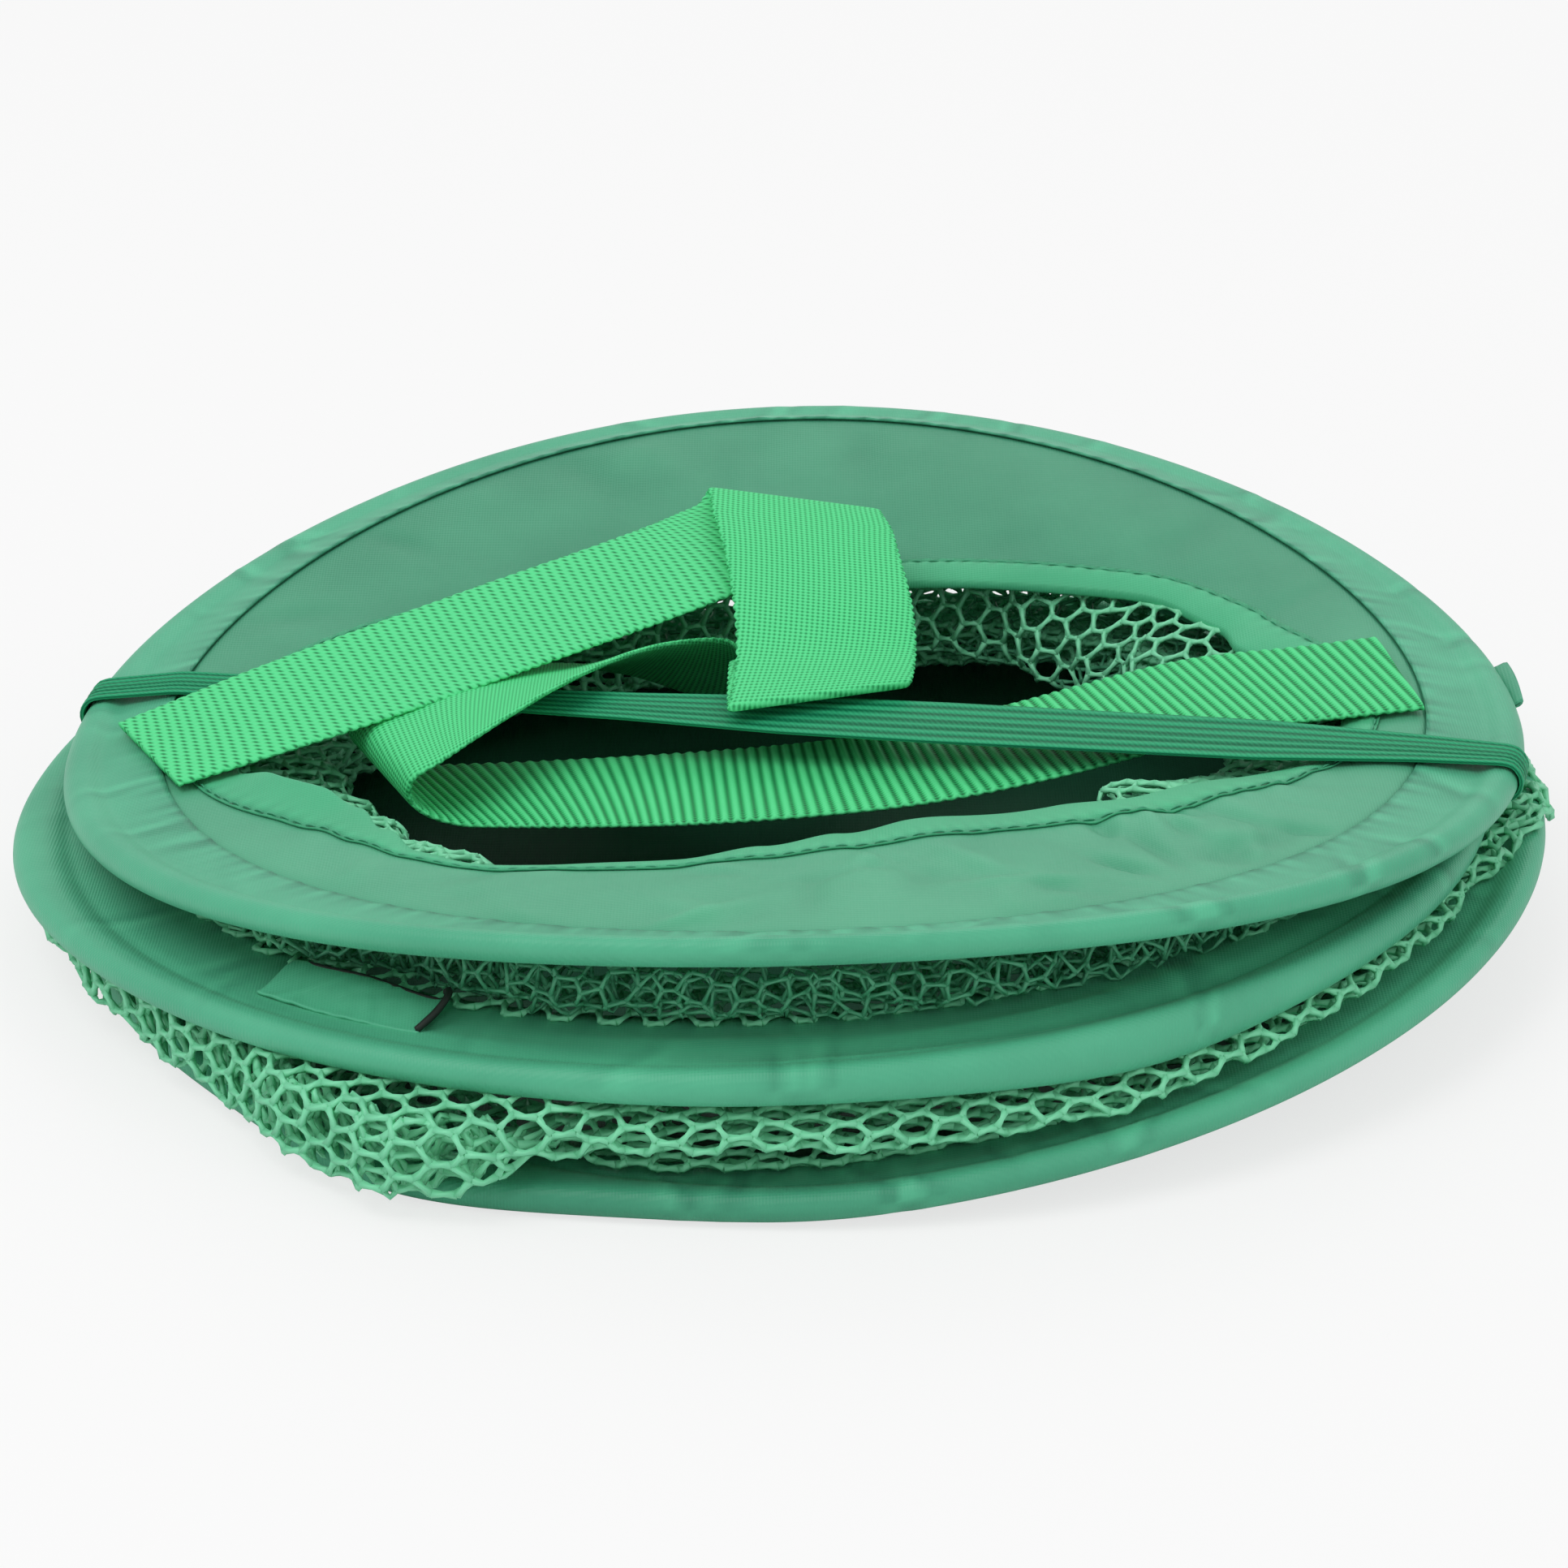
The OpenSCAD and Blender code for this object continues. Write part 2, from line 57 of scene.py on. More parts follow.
VIEW_DISTANCE = 1.0
VIEW_ELEVATION = math.radians(23.07)
VIEW_LENS = 110.2
FLOOR_HALF = 3.0
FLOOR_DROP = 0.0003

scene = bpy.context.scene
camera_data = bpy.data.cameras.new("view")
camera_data.lens = VIEW_LENS
camera_data.sensor_width = 36
camera_data.clip_start = 0.01
camera = bpy.data.objects.new("view", camera_data)
camera.location = (VIEW_TARGET[0], VIEW_TARGET[1] - VIEW_DISTANCE * math.cos(VIEW_ELEVATION),
                   VIEW_TARGET[2] + VIEW_DISTANCE * math.sin(VIEW_ELEVATION))
camera.rotation_euler = (math.pi / 2 - VIEW_ELEVATION, 0, 0)
scene.collection.objects.link(camera)
scene.camera = camera
scene.view_settings.view_transform = "Standard"


class Paint:
    """The emptied node tree of a new material or of a world, to which nodes are added."""

    def __init__(self, name, world=None):
        self.owner = world or bpy.data.materials.new(name)
        self.owner.use_nodes = True
        self.tree = self.owner.node_tree
        self.tree.nodes.clear()

    def add(self, kind, **values):
        """Adds a node. A socket, or a node's first output, is linked to the input of that name
        (spaces written as underscores) or number (i0, i1). Any other value is set."""
        made = self.tree.nodes.new("ShaderNode" + kind)
        for key, value in values.items():
            socket = made.inputs.get(key.replace("_", " "))
            if socket is None and key[1:].isdigit():
                socket = made.inputs[int(key[1:])]
            if isinstance(value, bpy.types.Node):
                value = value.outputs[0]
            if isinstance(value, bpy.types.NodeSocket):
                self.tree.links.new(value, socket)
            elif socket is not None:
                socket.default_value = value
            else:
                setattr(made, key, value)
        return made

    def math(self, operation, *terms, **values):
        """Adds a math node of up to three terms."""
        terms = {"i%d" % i: term for i, term in enumerate(terms)}
        return self.add("Math", operation=operation, **terms, **values)

    def noise(self, scale, detail, **values):
        """Adds noise in the object's own space."""
        place = self.add("TexCoord").outputs["Object"]
        return self.add("TexNoise", Vector=place, Scale=scale, Detail=detail, **values)

    def attribute(self, name):
        """Reads one number per vertex."""
        return self.add("Attribute", attribute_name=name).outputs["Fac"]

    def tint_with_shading(self, dark, colour, scale, detail, **values):
        """Colour between two by the vertex number tone_and_painted_shading, which carries painted
        shading, with half of a noise added to it.
        """
        drift = self.math("MULTIPLY_ADD", self.noise(scale, detail, **values), 0.5, -0.25)
        share = self.math("ADD", drift, self.attribute("tone_and_painted_shading"), use_clamp=True)
        return self.add("Mix", data_type="RGBA", i0=share, i6=dark, i7=colour).outputs[2]

    def coat(self, **values):
        """Ends a material with a principled surface of these values, and returns the material."""
        self.add("OutputMaterial", Surface=self.add("BsdfPrincipled", **values))
        return self.owner


scene.world = bpy.data.worlds.new("studio")
sky = Paint("studio", scene.world)
rays = sky.add("LightPath").outputs
seen = sky.math("MAXIMUM", rays["Is Camera Ray"], rays["Is Transmission Ray"])
soft = sky.add("Background", Color=(1, 1, 1, 1), Strength=0.62)
white = sky.add("Background", Color=(1, 1, 1, 1), Strength=1.0)
sky.add("OutputWorld", Surface=sky.add("MixShader", Fac=seen, i1=soft, i2=white))

floor_mesh = bpy.data.meshes.new("floor")
corners = [(x * FLOOR_HALF, y * FLOOR_HALF, 0) for x, y in ((-1, -1), (1, -1), (1, 1), (-1, 1))]
floor_mesh.from_pydata(corners, [], [(0, 1, 2, 3)])
floor = bpy.data.objects.new("floor", floor_mesh)
floor.location = (0, 0, -FLOOR_DROP)
scene.collection.objects.link(floor)
pale = Paint("pale_floor")
seen = pale.math("MULTIPLY", pale.add("LightPath").outputs["Is Camera Ray"], 0.72)
matt = pale.add("BsdfDiffuse", Color=(0.86, 0.86, 0.86, 1))
glow = pale.add("Emission", Color=(1, 1, 1, 1), Strength=1.0)
pale.add("OutputMaterial", Surface=pale.add("MixShader", Fac=seen, i1=matt, i2=glow))
floor_mesh.materials.append(pale.owner)

for lamp_name, place, size, power in (("key", (-0.7, -0.6, 1.5), 1.0, 9.0),
                                      ("fill", (1.1, -0.9, 0.9), 1.2, 3.0),
                                      ("back", (0.2, 1.2, 1.2), 1.0, 3.5)):
    lamp_data = bpy.data.lights.new(lamp_name, "AREA")
    lamp_data.size = size
    lamp_data.energy = power
    lamp = bpy.data.objects.new(lamp_name, lamp_data)
    lamp.location = place
    aim = -np.array(place) / np.linalg.norm(place)
    lamp.rotation_euler = (math.acos(-aim[2]), 0, math.atan2(aim[0], -aim[1]) + math.pi)
    scene.collection.objects.link(lamp)

# ---- Hoops and ferrules ----------------------------------
# Three hoops of drawn spring steel wire, hidden in their sleeves. A crimped ferrule closes each
# at the back.
MM = 0.001
WIRE_R = 147.0
BEAD_R = 3.0
FLAT_HALF = 1.1
BASE, MID, TOP = 0, 1, 2
SHIFT = {BASE: (4.0, -8.0), MID: (-7.0, -5.5), TOP: (0.0, 0.0)}
SEAM_R = {BASE: 130.0, MID: 122.0, TOP: 130.0}
SEAM_RISE = 5.0
SEAM_TUCK = 4.0
# height at the centre, tilt and dip
LEVEL = {MID: (27.0, 6.0, 3.5), TOP: (50.5, 4.0, 18.0)}


def grids(*parts):
    """Arrays broadcast to one shape and stacked along a new last axis."""
    return np.stack(np.broadcast_arrays(*parts), -1)


def level(k, x):
    """Height of a hoop's surface at x from its centre: a straight tilt less a parabola for the top
    and middle hoops; for the bottom one a smooth ramp that starts at the middle."""
    u = x / WIRE_R
    if k == BASE:
        return 3.0 + 18.5 * (u + np.sqrt(u * u + 0.01)) / 2
    return LEVEL[k][0] + LEVEL[k][1] * u - LEVEL[k][2] * u * u


def seat(k, a, r, up=0.0):
    """Points of a hoop's surface at angle a (radians) and radius r. The top one is raised at the
    back and lowered at the front by a sine of the angle."""
    a, r, up = np.broadcast_arrays(a, r, up)
    x, y = r * np.cos(a), r * np.sin(a)
    z = level(k, x) + up
    if k == TOP:
        z = z + SEAM_RISE * np.sin(a) * (WIRE_R - r) / (WIRE_R - SEAM_R[TOP])
    return grids(x + SHIFT[k][0], y + SHIFT[k][1], z)


def grainy(name, colour, roughness, metallic, grain, strength, distance):
    """One colour with a fine noise (its scale and detail) as bump: scratched steel or thread."""
    paint = Paint(name)
    bump = paint.add("Bump", Strength=strength, Distance=distance, Height=paint.noise(*grain))
    return paint.coat(Base_Color=colour, Metallic=metallic, Roughness=roughness, Normal=bump)


SCRATCHES = (1.0, (900.0, 3.0), 0.15, 0.0001)
wire_steel = grainy("drawn_spring_steel", (0.55, 0.56, 0.58, 1), 0.35, *SCRATCHES)
ferrule_steel = grainy("crimped_steel", (0.66, 0.67, 0.69, 1), 0.28, *SCRATCHES)
for hoop in ("top", "mid", "base"):
    for part, steel in (("hoop", wire_steel), ("ferrule", ferrule_steel)):
        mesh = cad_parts[hoop + "_" + part].data
        mesh.materials.clear()
        mesh.materials.append(steel)

# ---- Fabric sleeves --------------------------------------
# A strip of woven nylon is folded round each hoop and sewn shut along its inner edge, where its
# two layers also hold the collar, the net or the floor. The cloth puckers a little at the seam.
STATIONS = 540
LIP_END = -5.0
BORE_R = 2.25
MID_HANG, BASE_LOBE, MID_LOBE = (2.0, 2.2), 8.0, 3.2


def mesh_of(name, points, faces, material, tone_and_painted_shading=None, uv=None):
    """Object with one smooth mesh from points in millimetres and faces of one size. The cloths and
    nets read tone_and_painted_shading, a number per vertex, as their colour level and painted shading."""
    points = points.reshape(-1, 3)
    mesh = bpy.data.meshes.new(name)
    size = faces.shape[1]
    mesh.vertices.add(len(points))
    mesh.vertices.foreach_set("co", (points * MM).astype(np.float32).ravel())
    mesh.loops.add(faces.size)
    mesh.loops.foreach_set("vertex_index", faces.astype(np.int32).ravel())
    mesh.polygons.add(len(faces))
    mesh.polygons.foreach_set("loop_start", np.arange(0, faces.size, size, dtype=np.int32))
    mesh.polygons.foreach_set("loop_total", np.full(len(faces), size, dtype=np.int32))
    mesh.polygons.foreach_set("use_smooth", np.ones(len(faces), dtype=bool))
    mesh.update(calc_edges=True)
    if uv is not None:
        layer = mesh.uv_layers.new(name="cloth")
        layer.data.foreach_set("uv", (uv[faces.ravel()]).astype(np.float32).ravel())
    mesh.validate()
    made = bpy.data.objects.new(name, mesh)
    scene.collection.objects.link(made)
    if tone_and_painted_shading is not None:
        attribute(made, "tone_and_painted_shading", tone_and_painted_shading)
    mesh.materials.append(material)
    return made


def grid_faces(rows, cols, wrap_rows=False, wrap_cols=False):
    """Quads between the neighbours of a grid whose points are counted row by row."""
    i, j = np.meshgrid(np.arange(rows if wrap_rows else rows - 1),
                       np.arange(cols if wrap_cols else cols - 1), indexing="ij")
    i1, j1 = (i + 1) % rows, (j + 1) % cols
    return grids(i * cols + j, i1 * cols + j, i1 * cols + j1, i * cols + j1).reshape(-1, 4)


def surface(name, points, material, tone_and_painted_shading=None, across=None, wrap_rows=False, flip=False):
    """Mesh from rows x columns of points, closed across the columns. across is a grid of (u, v) in
    millimetres for the UV map 'cloth'."""
    quads = grid_faces(*points.shape[:2], wrap_rows, True)[:, ::-1 if flip else 1]
    tone_and_painted_shading = None if tone_and_painted_shading is None else np.broadcast_to(tone_and_painted_shading, points.shape[:2])
    return mesh_of(name, points, quads, material, tone_and_painted_shading, None if across is None else across.reshape(-1, 2))


def attribute(obj, name, values):
    """Stores one number per vertex."""
    layer = obj.data.attributes.get(name) or obj.data.attributes.new(name, "FLOAT", "POINT")
    layer.data.foreach_set("value", np.asarray(values, dtype=np.float32).ravel())


def unit(vectors):
    """Vectors divided by their lengths."""
    return vectors / np.maximum(np.linalg.norm(vectors, axis=-1, keepdims=True), 1e-9)


def run_along(points):
    """Length along a line of points, from zero: the running sum of its steps."""
    return np.hstack([[0], np.cumsum(np.linalg.norm(np.diff(points, axis=0), axis=1))])


def round_turn(count):
    """Even angles round a full turn in radians, as a column."""
    return np.linspace(0, 2 * math.pi, count, endpoint=False)[:, None]


def turn(a, middle):
    """Signed angle in degrees from middle (degrees) to a (radians)."""
    return np.degrees(np.angle(np.exp(1j * (a - math.radians(middle)))))


def bell(a, middle, spread):
    """Gaussian of the angle from middle, both in degrees, with a in radians."""
    return np.exp(-(turn(a, middle) / spread) ** 2)


def ridges(a, r, seed, count, a_range, r_range, height, width, lean):
    """Sum of short creases, each a Gaussian across its line times a Gaussian along it, with place,
    direction, length and height drawn at random."""
    rng = np.random.default_rng(seed)
    total = np.zeros(np.broadcast(a, r).shape)
    for _ in range(count):
        a0 = rng.uniform(*a_range)
        r0 = rng.uniform(*r_range)
        skew = rng.normal(0, lean)
        long = rng.uniform(5, 14)
        w = width * rng.uniform(0.6, 1.5)
        along = r - r0
        side = np.angle(np.exp(1j * (a - a0))) * r0
        s = side * np.cos(skew) + along * np.sin(skew)
        l = along * np.cos(skew) - side * np.sin(skew)
        total += rng.uniform(-1, 1) * height * np.exp(-(s / w) ** 2 - (l / long) ** 2)
    return total


def smooth(x):
    """Smoothstep of x held between 0 and 1."""
    x = np.clip(x, 0, 1)
    return x * x * (3 - 2 * x)


def between(a, table, column):
    """Column of a table that starts with degrees round the hoop, read at angles a (radians) with a
    smoothstep between rows."""
    at = (np.degrees(a) - table[0][0]) % 360 + table[0][0]
    knots = np.array(table, dtype=float)
    i = np.clip(np.searchsorted(knots[:, 0], at, side="right") - 1, 0, len(knots) - 2)
    t = smooth((at - knots[i, 0]) / (knots[i + 1, 0] - knots[i, 0]))
    return knots[i, column] + (knots[i + 1, column] - knots[i, column]) * t


def cloth_finish(name, colour, dark, roughness=0.5, sheen=0.03):
    """Woven nylon: colour from dark to colour by tone_and_painted_shading, the painted shading, and a
    slow drift, and two crossed waves as its weave.
    """
    paint = Paint(name)
    tint_with_shading = paint.tint_with_shading(dark, colour, 28.0, 4.0, Roughness=0.55)
    place = paint.add("TexCoord").outputs["Object"]
    warp, weft = [paint.add("TexWave", bands_direction=axis, Vector=place, Scale=520.0).outputs["Fac"]
                  for axis in "XY"]
    crease = paint.noise(75.0, 3.0, Roughness=0.6)
    tall = paint.math("MULTIPLY_ADD", paint.math("ADD", warp, weft), 0.16, crease)
    bump = paint.add("Bump", Strength=0.35, Distance=0.0006, Height=tall)
    return paint.coat(Base_Color=tint_with_shading, Roughness=roughness, Normal=bump, Sheen_Weight=sheen,
                      Sheen_Roughness=0.45, Specular_IOR_Level=0.32)


sleeve_nylon = cloth_finish("sleeve_nylon", (0.105, 0.53, 0.31, 1), (0.006, 0.11, 0.065, 1), roughness=0.42)


def sleeve_section(width):
    """Closed section of the folded strip: its skin and its lining. The skin's half height is the
    bead's circle, blended into the flat lips by a smoothstep."""
    q = np.hstack([np.linspace(-width, -6.0, 8), np.linspace(LIP_END, -1.6, 5),
                   BEAD_R * np.cos(np.radians(np.linspace(115, 0, 9)))])
    circle = np.sqrt(np.clip(BEAD_R ** 2 - q ** 2, 0, None))
    blend = smooth((q + 5.6) / 4.6)
    neck = FLAT_HALF + (np.sqrt(BEAD_R ** 2 - 0.64) - FLAT_HALF) * blend
    half = np.where(q > -0.8, circle, neck)
    skin = np.vstack([grids(q, half), grids(q, -half)[-2::-1]])
    bore = np.radians(np.linspace(-140, 140, 13))
    lining = np.vstack([[[-width, -0.5], [LIP_END, -0.5], [-3.2, -0.55]],
                        BORE_R * grids(np.cos(bore), np.sin(bore)),
                        [[-3.2, 0.55], [LIP_END, 0.5], [-width, 0.5]]])
    return skin, lining


def mid_droop(a):
    """How far the slack middle sleeve hangs below its wire: a narrow and a wide Gaussian."""
    return MID_HANG[0] * bell(a, 299, 12) + MID_HANG[1] * bell(a, 296, 34)


def sleeve_cloth(k, name, seed, folds):
    """Section carried round the hoop. Puckers at the seam lift its skin, and so do long folds, each
    a Gaussian ridge about a radius that wanders with the angle."""
    width = WIRE_R - SEAM_R[k]
    skin, lining = sleeve_section(width)
    a = round_turn(STATIONS)
    section = np.vstack([skin, lining])
    q, h = section[None, :, 0], section[None, :, 1]
    is_skin = np.arange(len(section))[None, :] < len(skin)
    near_seam = np.exp(-(q + width) / 3.5)
    rng = np.random.default_rng(seed)
    pucker = 0 * a
    for turns in (53, 71, 97, 131, 173):
        pucker += rng.uniform(0.03, 0.09) * np.sin(turns * a + rng.uniform(0, 6.28))
    lift = pucker * near_seam
    lift = lift + ridges(a, WIRE_R + q, seed + 1, 60, (0, 6.283), (SEAM_R[k], WIRE_R), 0.22, 1.6, 0.5)
    for degrees, spread, r0, wander, wide, tall in folds:
        a0 = math.radians(degrees)
        window = np.exp(-(np.angle(np.exp(1j * (a - a0))) / spread) ** 2)
        centre = r0 - WIRE_R + wander * np.sin(3 * a + 10 * a0)
        lift = lift + tall * window * np.exp(-((q - centre) / wide) ** 2)
    lift = np.where(h < 0, 0.4, 1) * np.sign(h) * lift * is_skin
    hang, lobe = 0.0, 0.0
    if k == MID:
        hang = mid_droop(a) * smooth((q + 9) / 8) * np.clip(0.5 - h / 6, 0, 1) * is_skin
        lobe = MID_LOBE * bell(a, 191, 20)
    if k == BASE:
        lobe = BASE_LOBE * bell(a, 240, 13)
    lobe = lobe * smooth((q + 4) / 6) * is_skin
    points = seat(k, a, WIRE_R + q + 0.25 * hang * smooth((q + 3) / 3) + lobe, h + lift - hang)
    slope = np.gradient(lift, axis=0) * 3.0
    # painted shade: darker near the seam and its puckers; painted light and shade by the slope of the creases
    # and folds
    shade = 0.82 - 0.35 * near_seam * (0.5 + 2.0 * pucker) + np.clip(slope, -0.2, 0.2)
    # painted shade on the bottom sleeve at the front left
    shade = shade - 0.3 * bell(a, 258, 30) * (k == BASE)
    across = grids(a * WIRE_R, run_along(section)[None, :])
    return surface(name, points, sleeve_nylon, shade, across, wrap_rows=True, flip=True)


top_sleeve_cloth = sleeve_cloth(TOP, "top_sleeve_cloth", 11, [])
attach(top_sleeve_cloth, "top")
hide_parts("top_sleeve")

# folds: degrees round the hoop, spread in radians, radius, wander, width and height in millimetres
mid_sleeve_cloth = sleeve_cloth(MID, "mid_sleeve_cloth", 23, [
    (-62, 0.30, 137.0, 1.4, 1.5, 1.3), (-50, 0.28, 131.0, 1.2, 1.2, 1.2), (-30, 0.30, 139.5, 0.8, 1.4, 1.0),
    (-140, 0.25, 141.0, 1.0, 1.3, 0.7), (-78, 0.35, 141.5, 1.0, 1.2, 1.1), (-95, 0.30, 134.0, 1.2, 1.3, 0.9),
    (-42, 0.22, 143.0, 0.7, 1.0, 1.0), (-112, 0.30, 138.5, 0.9, 1.2, 0.8)])
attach(mid_sleeve_cloth, "mid")
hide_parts("mid_sleeve")

base_sleeve_cloth = sleeve_cloth(BASE, "base_sleeve_cloth", 37, [(-70, 0.35, 140.0, 1.0, 1.6, 0.5)])
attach(base_sleeve_cloth, "base")
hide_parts("base_sleeve")

# ---- Collar ----------------------------------------------
# The collar is one ring of nylon cloth, held by the top sleeve's seam. It hangs a little inwards
# to the oval opening, and is slack enough to wrinkle at the front right.
OPENING_HALF_L, OPENING_HALF_W = 115.0, 75.0
OPENING_RIGHT, OPENING_FORWARD = -2.5, 5.0
OPENING_TURN = math.radians(4)
CLOTH_T = 0.8
SIDE_SAG, BACK_SAG, FRONT_SAG = 6.5, 6.0, 3.5


def opening_r(a):
    """Distance from the hoop's centre to the oval at angle a: the larger root of the quadratic of a
    ray and a turned, shifted ellipse."""
    ox, oy = OPENING_RIGHT / OPENING_HALF_L, -OPENING_FORWARD / OPENING_HALF_W
    dx, dy = np.cos(a - OPENING_TURN) / OPENING_HALF_L, np.sin(a - OPENING_TURN) / OPENING_HALF_W
    aa, bb = dx * dx + dy * dy, ox * dx + oy * dy
    return (bb + np.sqrt(bb * bb - aa * (ox * ox + oy * oy - 1))) / aa


def opening_cos(a):
    """Cosine of the angle between the ray at angle a and the oval's normal."""
    r, c, s = opening_r(a), np.cos(a - OPENING_TURN), np.sin(a - OPENING_TURN)
    nx = (r * c - OPENING_RIGHT) / OPENING_HALF_L ** 2
    ny = (r * s + OPENING_FORWARD) / OPENING_HALF_W ** 2
    return (nx * c + ny * s) / np.hypot(nx, ny)


# slack of the opening's edge: degrees, outward shift, lift
EDGE_SLACK = [[-180, 0, 0], [-168, -1, 3], [-159, -2.6, 6], [-152, -3.4, 6.2], [-146, -1.8, 4.4],
              [-140, 2.5, 1.8], [-133, 8, 0], [-127, 9.5, 0], [-120, 8, 0], [-104, 6.4, 0],
              [-94, 3.3, 0], [-83, -6, 0], [-72, -8, 0], [-62, -8.4, 0], [-51, -7, 0],
              [-39, -3.7, 0], [-23, -4, 0], [-12, 2, 0], [0, 1, 0], [18, -4, 0], [25, 1, 0],
              [38, 6.2, 0], [60, 0, 0], [180, 0, 0]]


def collar_point(a, r, up=0.0):
    """Point of the collar at angle a and radius r. t is the share of the way from the seam to the
    opening: the seam's rise fades with t, the sag grows as t to the power 1.5, and small waves and
    the edge's slack as its square and cube."""
    a, r, up = np.broadcast_arrays(a, r, up)
    t = (SEAM_R[TOP] - r) / (SEAM_R[TOP] - opening_r(a))
    tc = np.clip(t, 0, None)
    sag = SIDE_SAG + np.where(np.sin(a) > 0, BACK_SAG, FRONT_SAG) * np.sin(a) ** 2
    front = 0.35 + 0.65 * smooth(0.5 - 0.9 * np.sin(a))
    rise = (0.55 * np.sin(7 * a + 0.6) + 0.5 * np.sin(11 * a + 2.1) + 0.4 * np.sin(17 * a + 4.0)) * front
    shift = (0.5 * np.sin(5 * a + 1.0) + 0.45 * np.sin(13 * a + 0.4)) * front
    x, y = r * np.cos(a), r * np.sin(a)
    z = level(TOP, x) + (1 - t) * SEAM_RISE * np.sin(a) - sag * tc ** 1.5 + rise * tc ** 2 + up
    z = z + between(a, EDGE_SLACK, 2) * tc ** 3
    wide = 1 + (shift + between(a, EDGE_SLACK, 1)) * tc ** 2 / np.maximum(r, 1)
    return grids(x * wide, y * wide, z)


def collar_wrinkle(a, r):
    """Height of the collar's wrinkles, which fade out at the seam and at the hem."""
    t = np.clip((SEAM_R[TOP] - r) / (SEAM_R[TOP] - opening_r(a)), 0, 1)
    fade = smooth(t / 0.12) * smooth((0.93 - t) / 0.28)
    fine = ridges(a, r, 5, 46, (math.radians(-100), math.radians(-15)), (88, 126), 1.3, 2.4, 0.9)
    slow = ridges(a, r, 6, 70, (0, 6.283), (80, 128), 0.8, 4.5, 0.8)
    folds = ridges(a, r, 8, 16, (math.radians(-60), math.radians(-25)), (95, 122), 2.2, 2.2, 0.35)
    return (fine + slow + folds) * fade


collar_nylon = cloth_finish("collar_nylon", (0.105, 0.465, 0.27, 1), (0.015, 0.17, 0.095, 1), 0.48, 0.04)
a = round_turn(STATIONS)
share = np.hstack([np.linspace(0, 0.1, 6, endpoint=False), np.linspace(0.1, 1, 46)])[None, :]
r = SEAM_R[TOP] + (opening_r(a) - SEAM_R[TOP]) * share
wrinkle = collar_wrinkle(a, r)
body = collar_point(a, r, wrinkle - 0.35 * np.exp(-share * 60))
tuck = seat(TOP, a, np.array([[SEAM_R[TOP] + SEAM_TUCK, SEAM_R[TOP] + 1.0]]))
sheet = np.hstack([tuck, body])
half = np.array([0, 0, CLOTH_T / 2])
edge = body[:, -1:] - 0.25 * grids(np.cos(a), np.sin(a), 0)
ring = np.hstack([sheet + half, edge, sheet[:, ::-1] - half])
# painted shading of the collar: darker at the back, where it faces away from the light, lighter on wrinkle
# crests and darker in their troughs, and darker along the seam
back_painted_shade = 0.32 * smooth(0.4 + 0.9 * np.sin(a))
shade = 0.85 + 0.12 * np.clip(wrinkle, -2, 2) - 0.3 * np.exp(-share * 40) - back_painted_shade
shade = np.hstack([np.full((STATIONS, 2), 0.5), shade])
shade = np.hstack([shade, shade[:, -1:], shade[:, ::-1]])
top_collar_cloth = surface("top_collar_cloth", ring, collar_nylon, shade,
                           grids(a * 100.0, run_along(ring[0])[None, :]), wrap_rows=True)
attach(top_collar_cloth, "top")
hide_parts("top_collar")

# ---- Hem of the opening ----------------------------------
# The edge of the opening is bound with a folded strip of the same nylon, 8 mm wide and narrower
# at the back, and sewn through with one row of 2.6 mm stitches. Its colour is lighter and
# greener than the collar's, as painted light.
HEM_W = 8.0
SEWN_AT = 0.1
inner, outer = CLOTH_T / 2 + 0.12, CLOTH_T / 2 + 0.65
hem_far = opening_r(a) + HEM_W * (1 - 0.3 * bell(a, 90, 45)) / opening_cos(a)
near = opening_r(a) - 0.5 / opening_cos(a)
inward = np.linspace(0, 1, 13)[None, :]
r = hem_far + (near - hem_far) * inward
groove = np.exp(-((inward - SEWN_AT) / 0.05) ** 2)
ripple = 0.10 * np.sin(150 * a + 3 * np.sin(5 * a)) * np.exp(-((inward - 0.12) / 0.25) ** 2)
puff = 0.35 * np.sin(np.pi * np.clip(inward * 1.1 - 0.1, 0, 1)) ** 0.7
wrinkle = collar_wrinkle(a, np.minimum(r, SEAM_R[TOP]))
upper = collar_point(a, r, outer + puff - 0.4 * groove + ripple + wrinkle)
lower = collar_point(a, r, -outer - 0.5 * puff + wrinkle)
inside_up, inside_low = collar_point(a, r, inner + wrinkle), collar_point(a, r, -inner + wrinkle)
bend = np.radians([[60.0, 20.0, -20.0, -60.0]])
fold_edge = collar_point(a, near - 0.55 * np.cos(bend), outer * np.sin(bend))
ring = np.hstack([inside_up[:, :1], upper, fold_edge, lower[:, ::-1], inside_low[:, :1],
                  inside_low[:, 11:12], inside_up[:, 11:12]])
# painted light: a lighter, greener copy of the collar's nylon
hem_nylon = cloth_finish("hem_nylon", (0.085, 0.53, 0.27, 1), (0.010, 0.17, 0.085, 1))
# painted shading: darker in the stitched groove, lighter and darker on the ripples
hem_painted_shading = np.broadcast_to(0.85 - 0.5 * groove + 1.2 * ripple, r.shape)
# painted shade: the underside of the hem is darker than its top, the faces inside it darker still
plain = [np.full((STATIONS, count), shade) for count, shade in ((1, 0.2), (4, 0.85), (13, 0.6), (3, 0.2))]
opening_hem_cloth = surface("opening_hem_cloth", ring, hem_nylon,
                            np.hstack([plain[0], hem_painted_shading, *plain[1:]]), wrap_rows=True)
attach(opening_hem_cloth, "top")
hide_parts("opening_hem")


TWIST = (0.6, 0.0, (1500.0, 2.0), 0.4, 0.0002)


def square_to(way, up):
    """Two vectors square to a unit vector: its cross product with up, and that one's with it."""
    side = unit(np.cross(way, up))
    return side, np.cross(side, way)


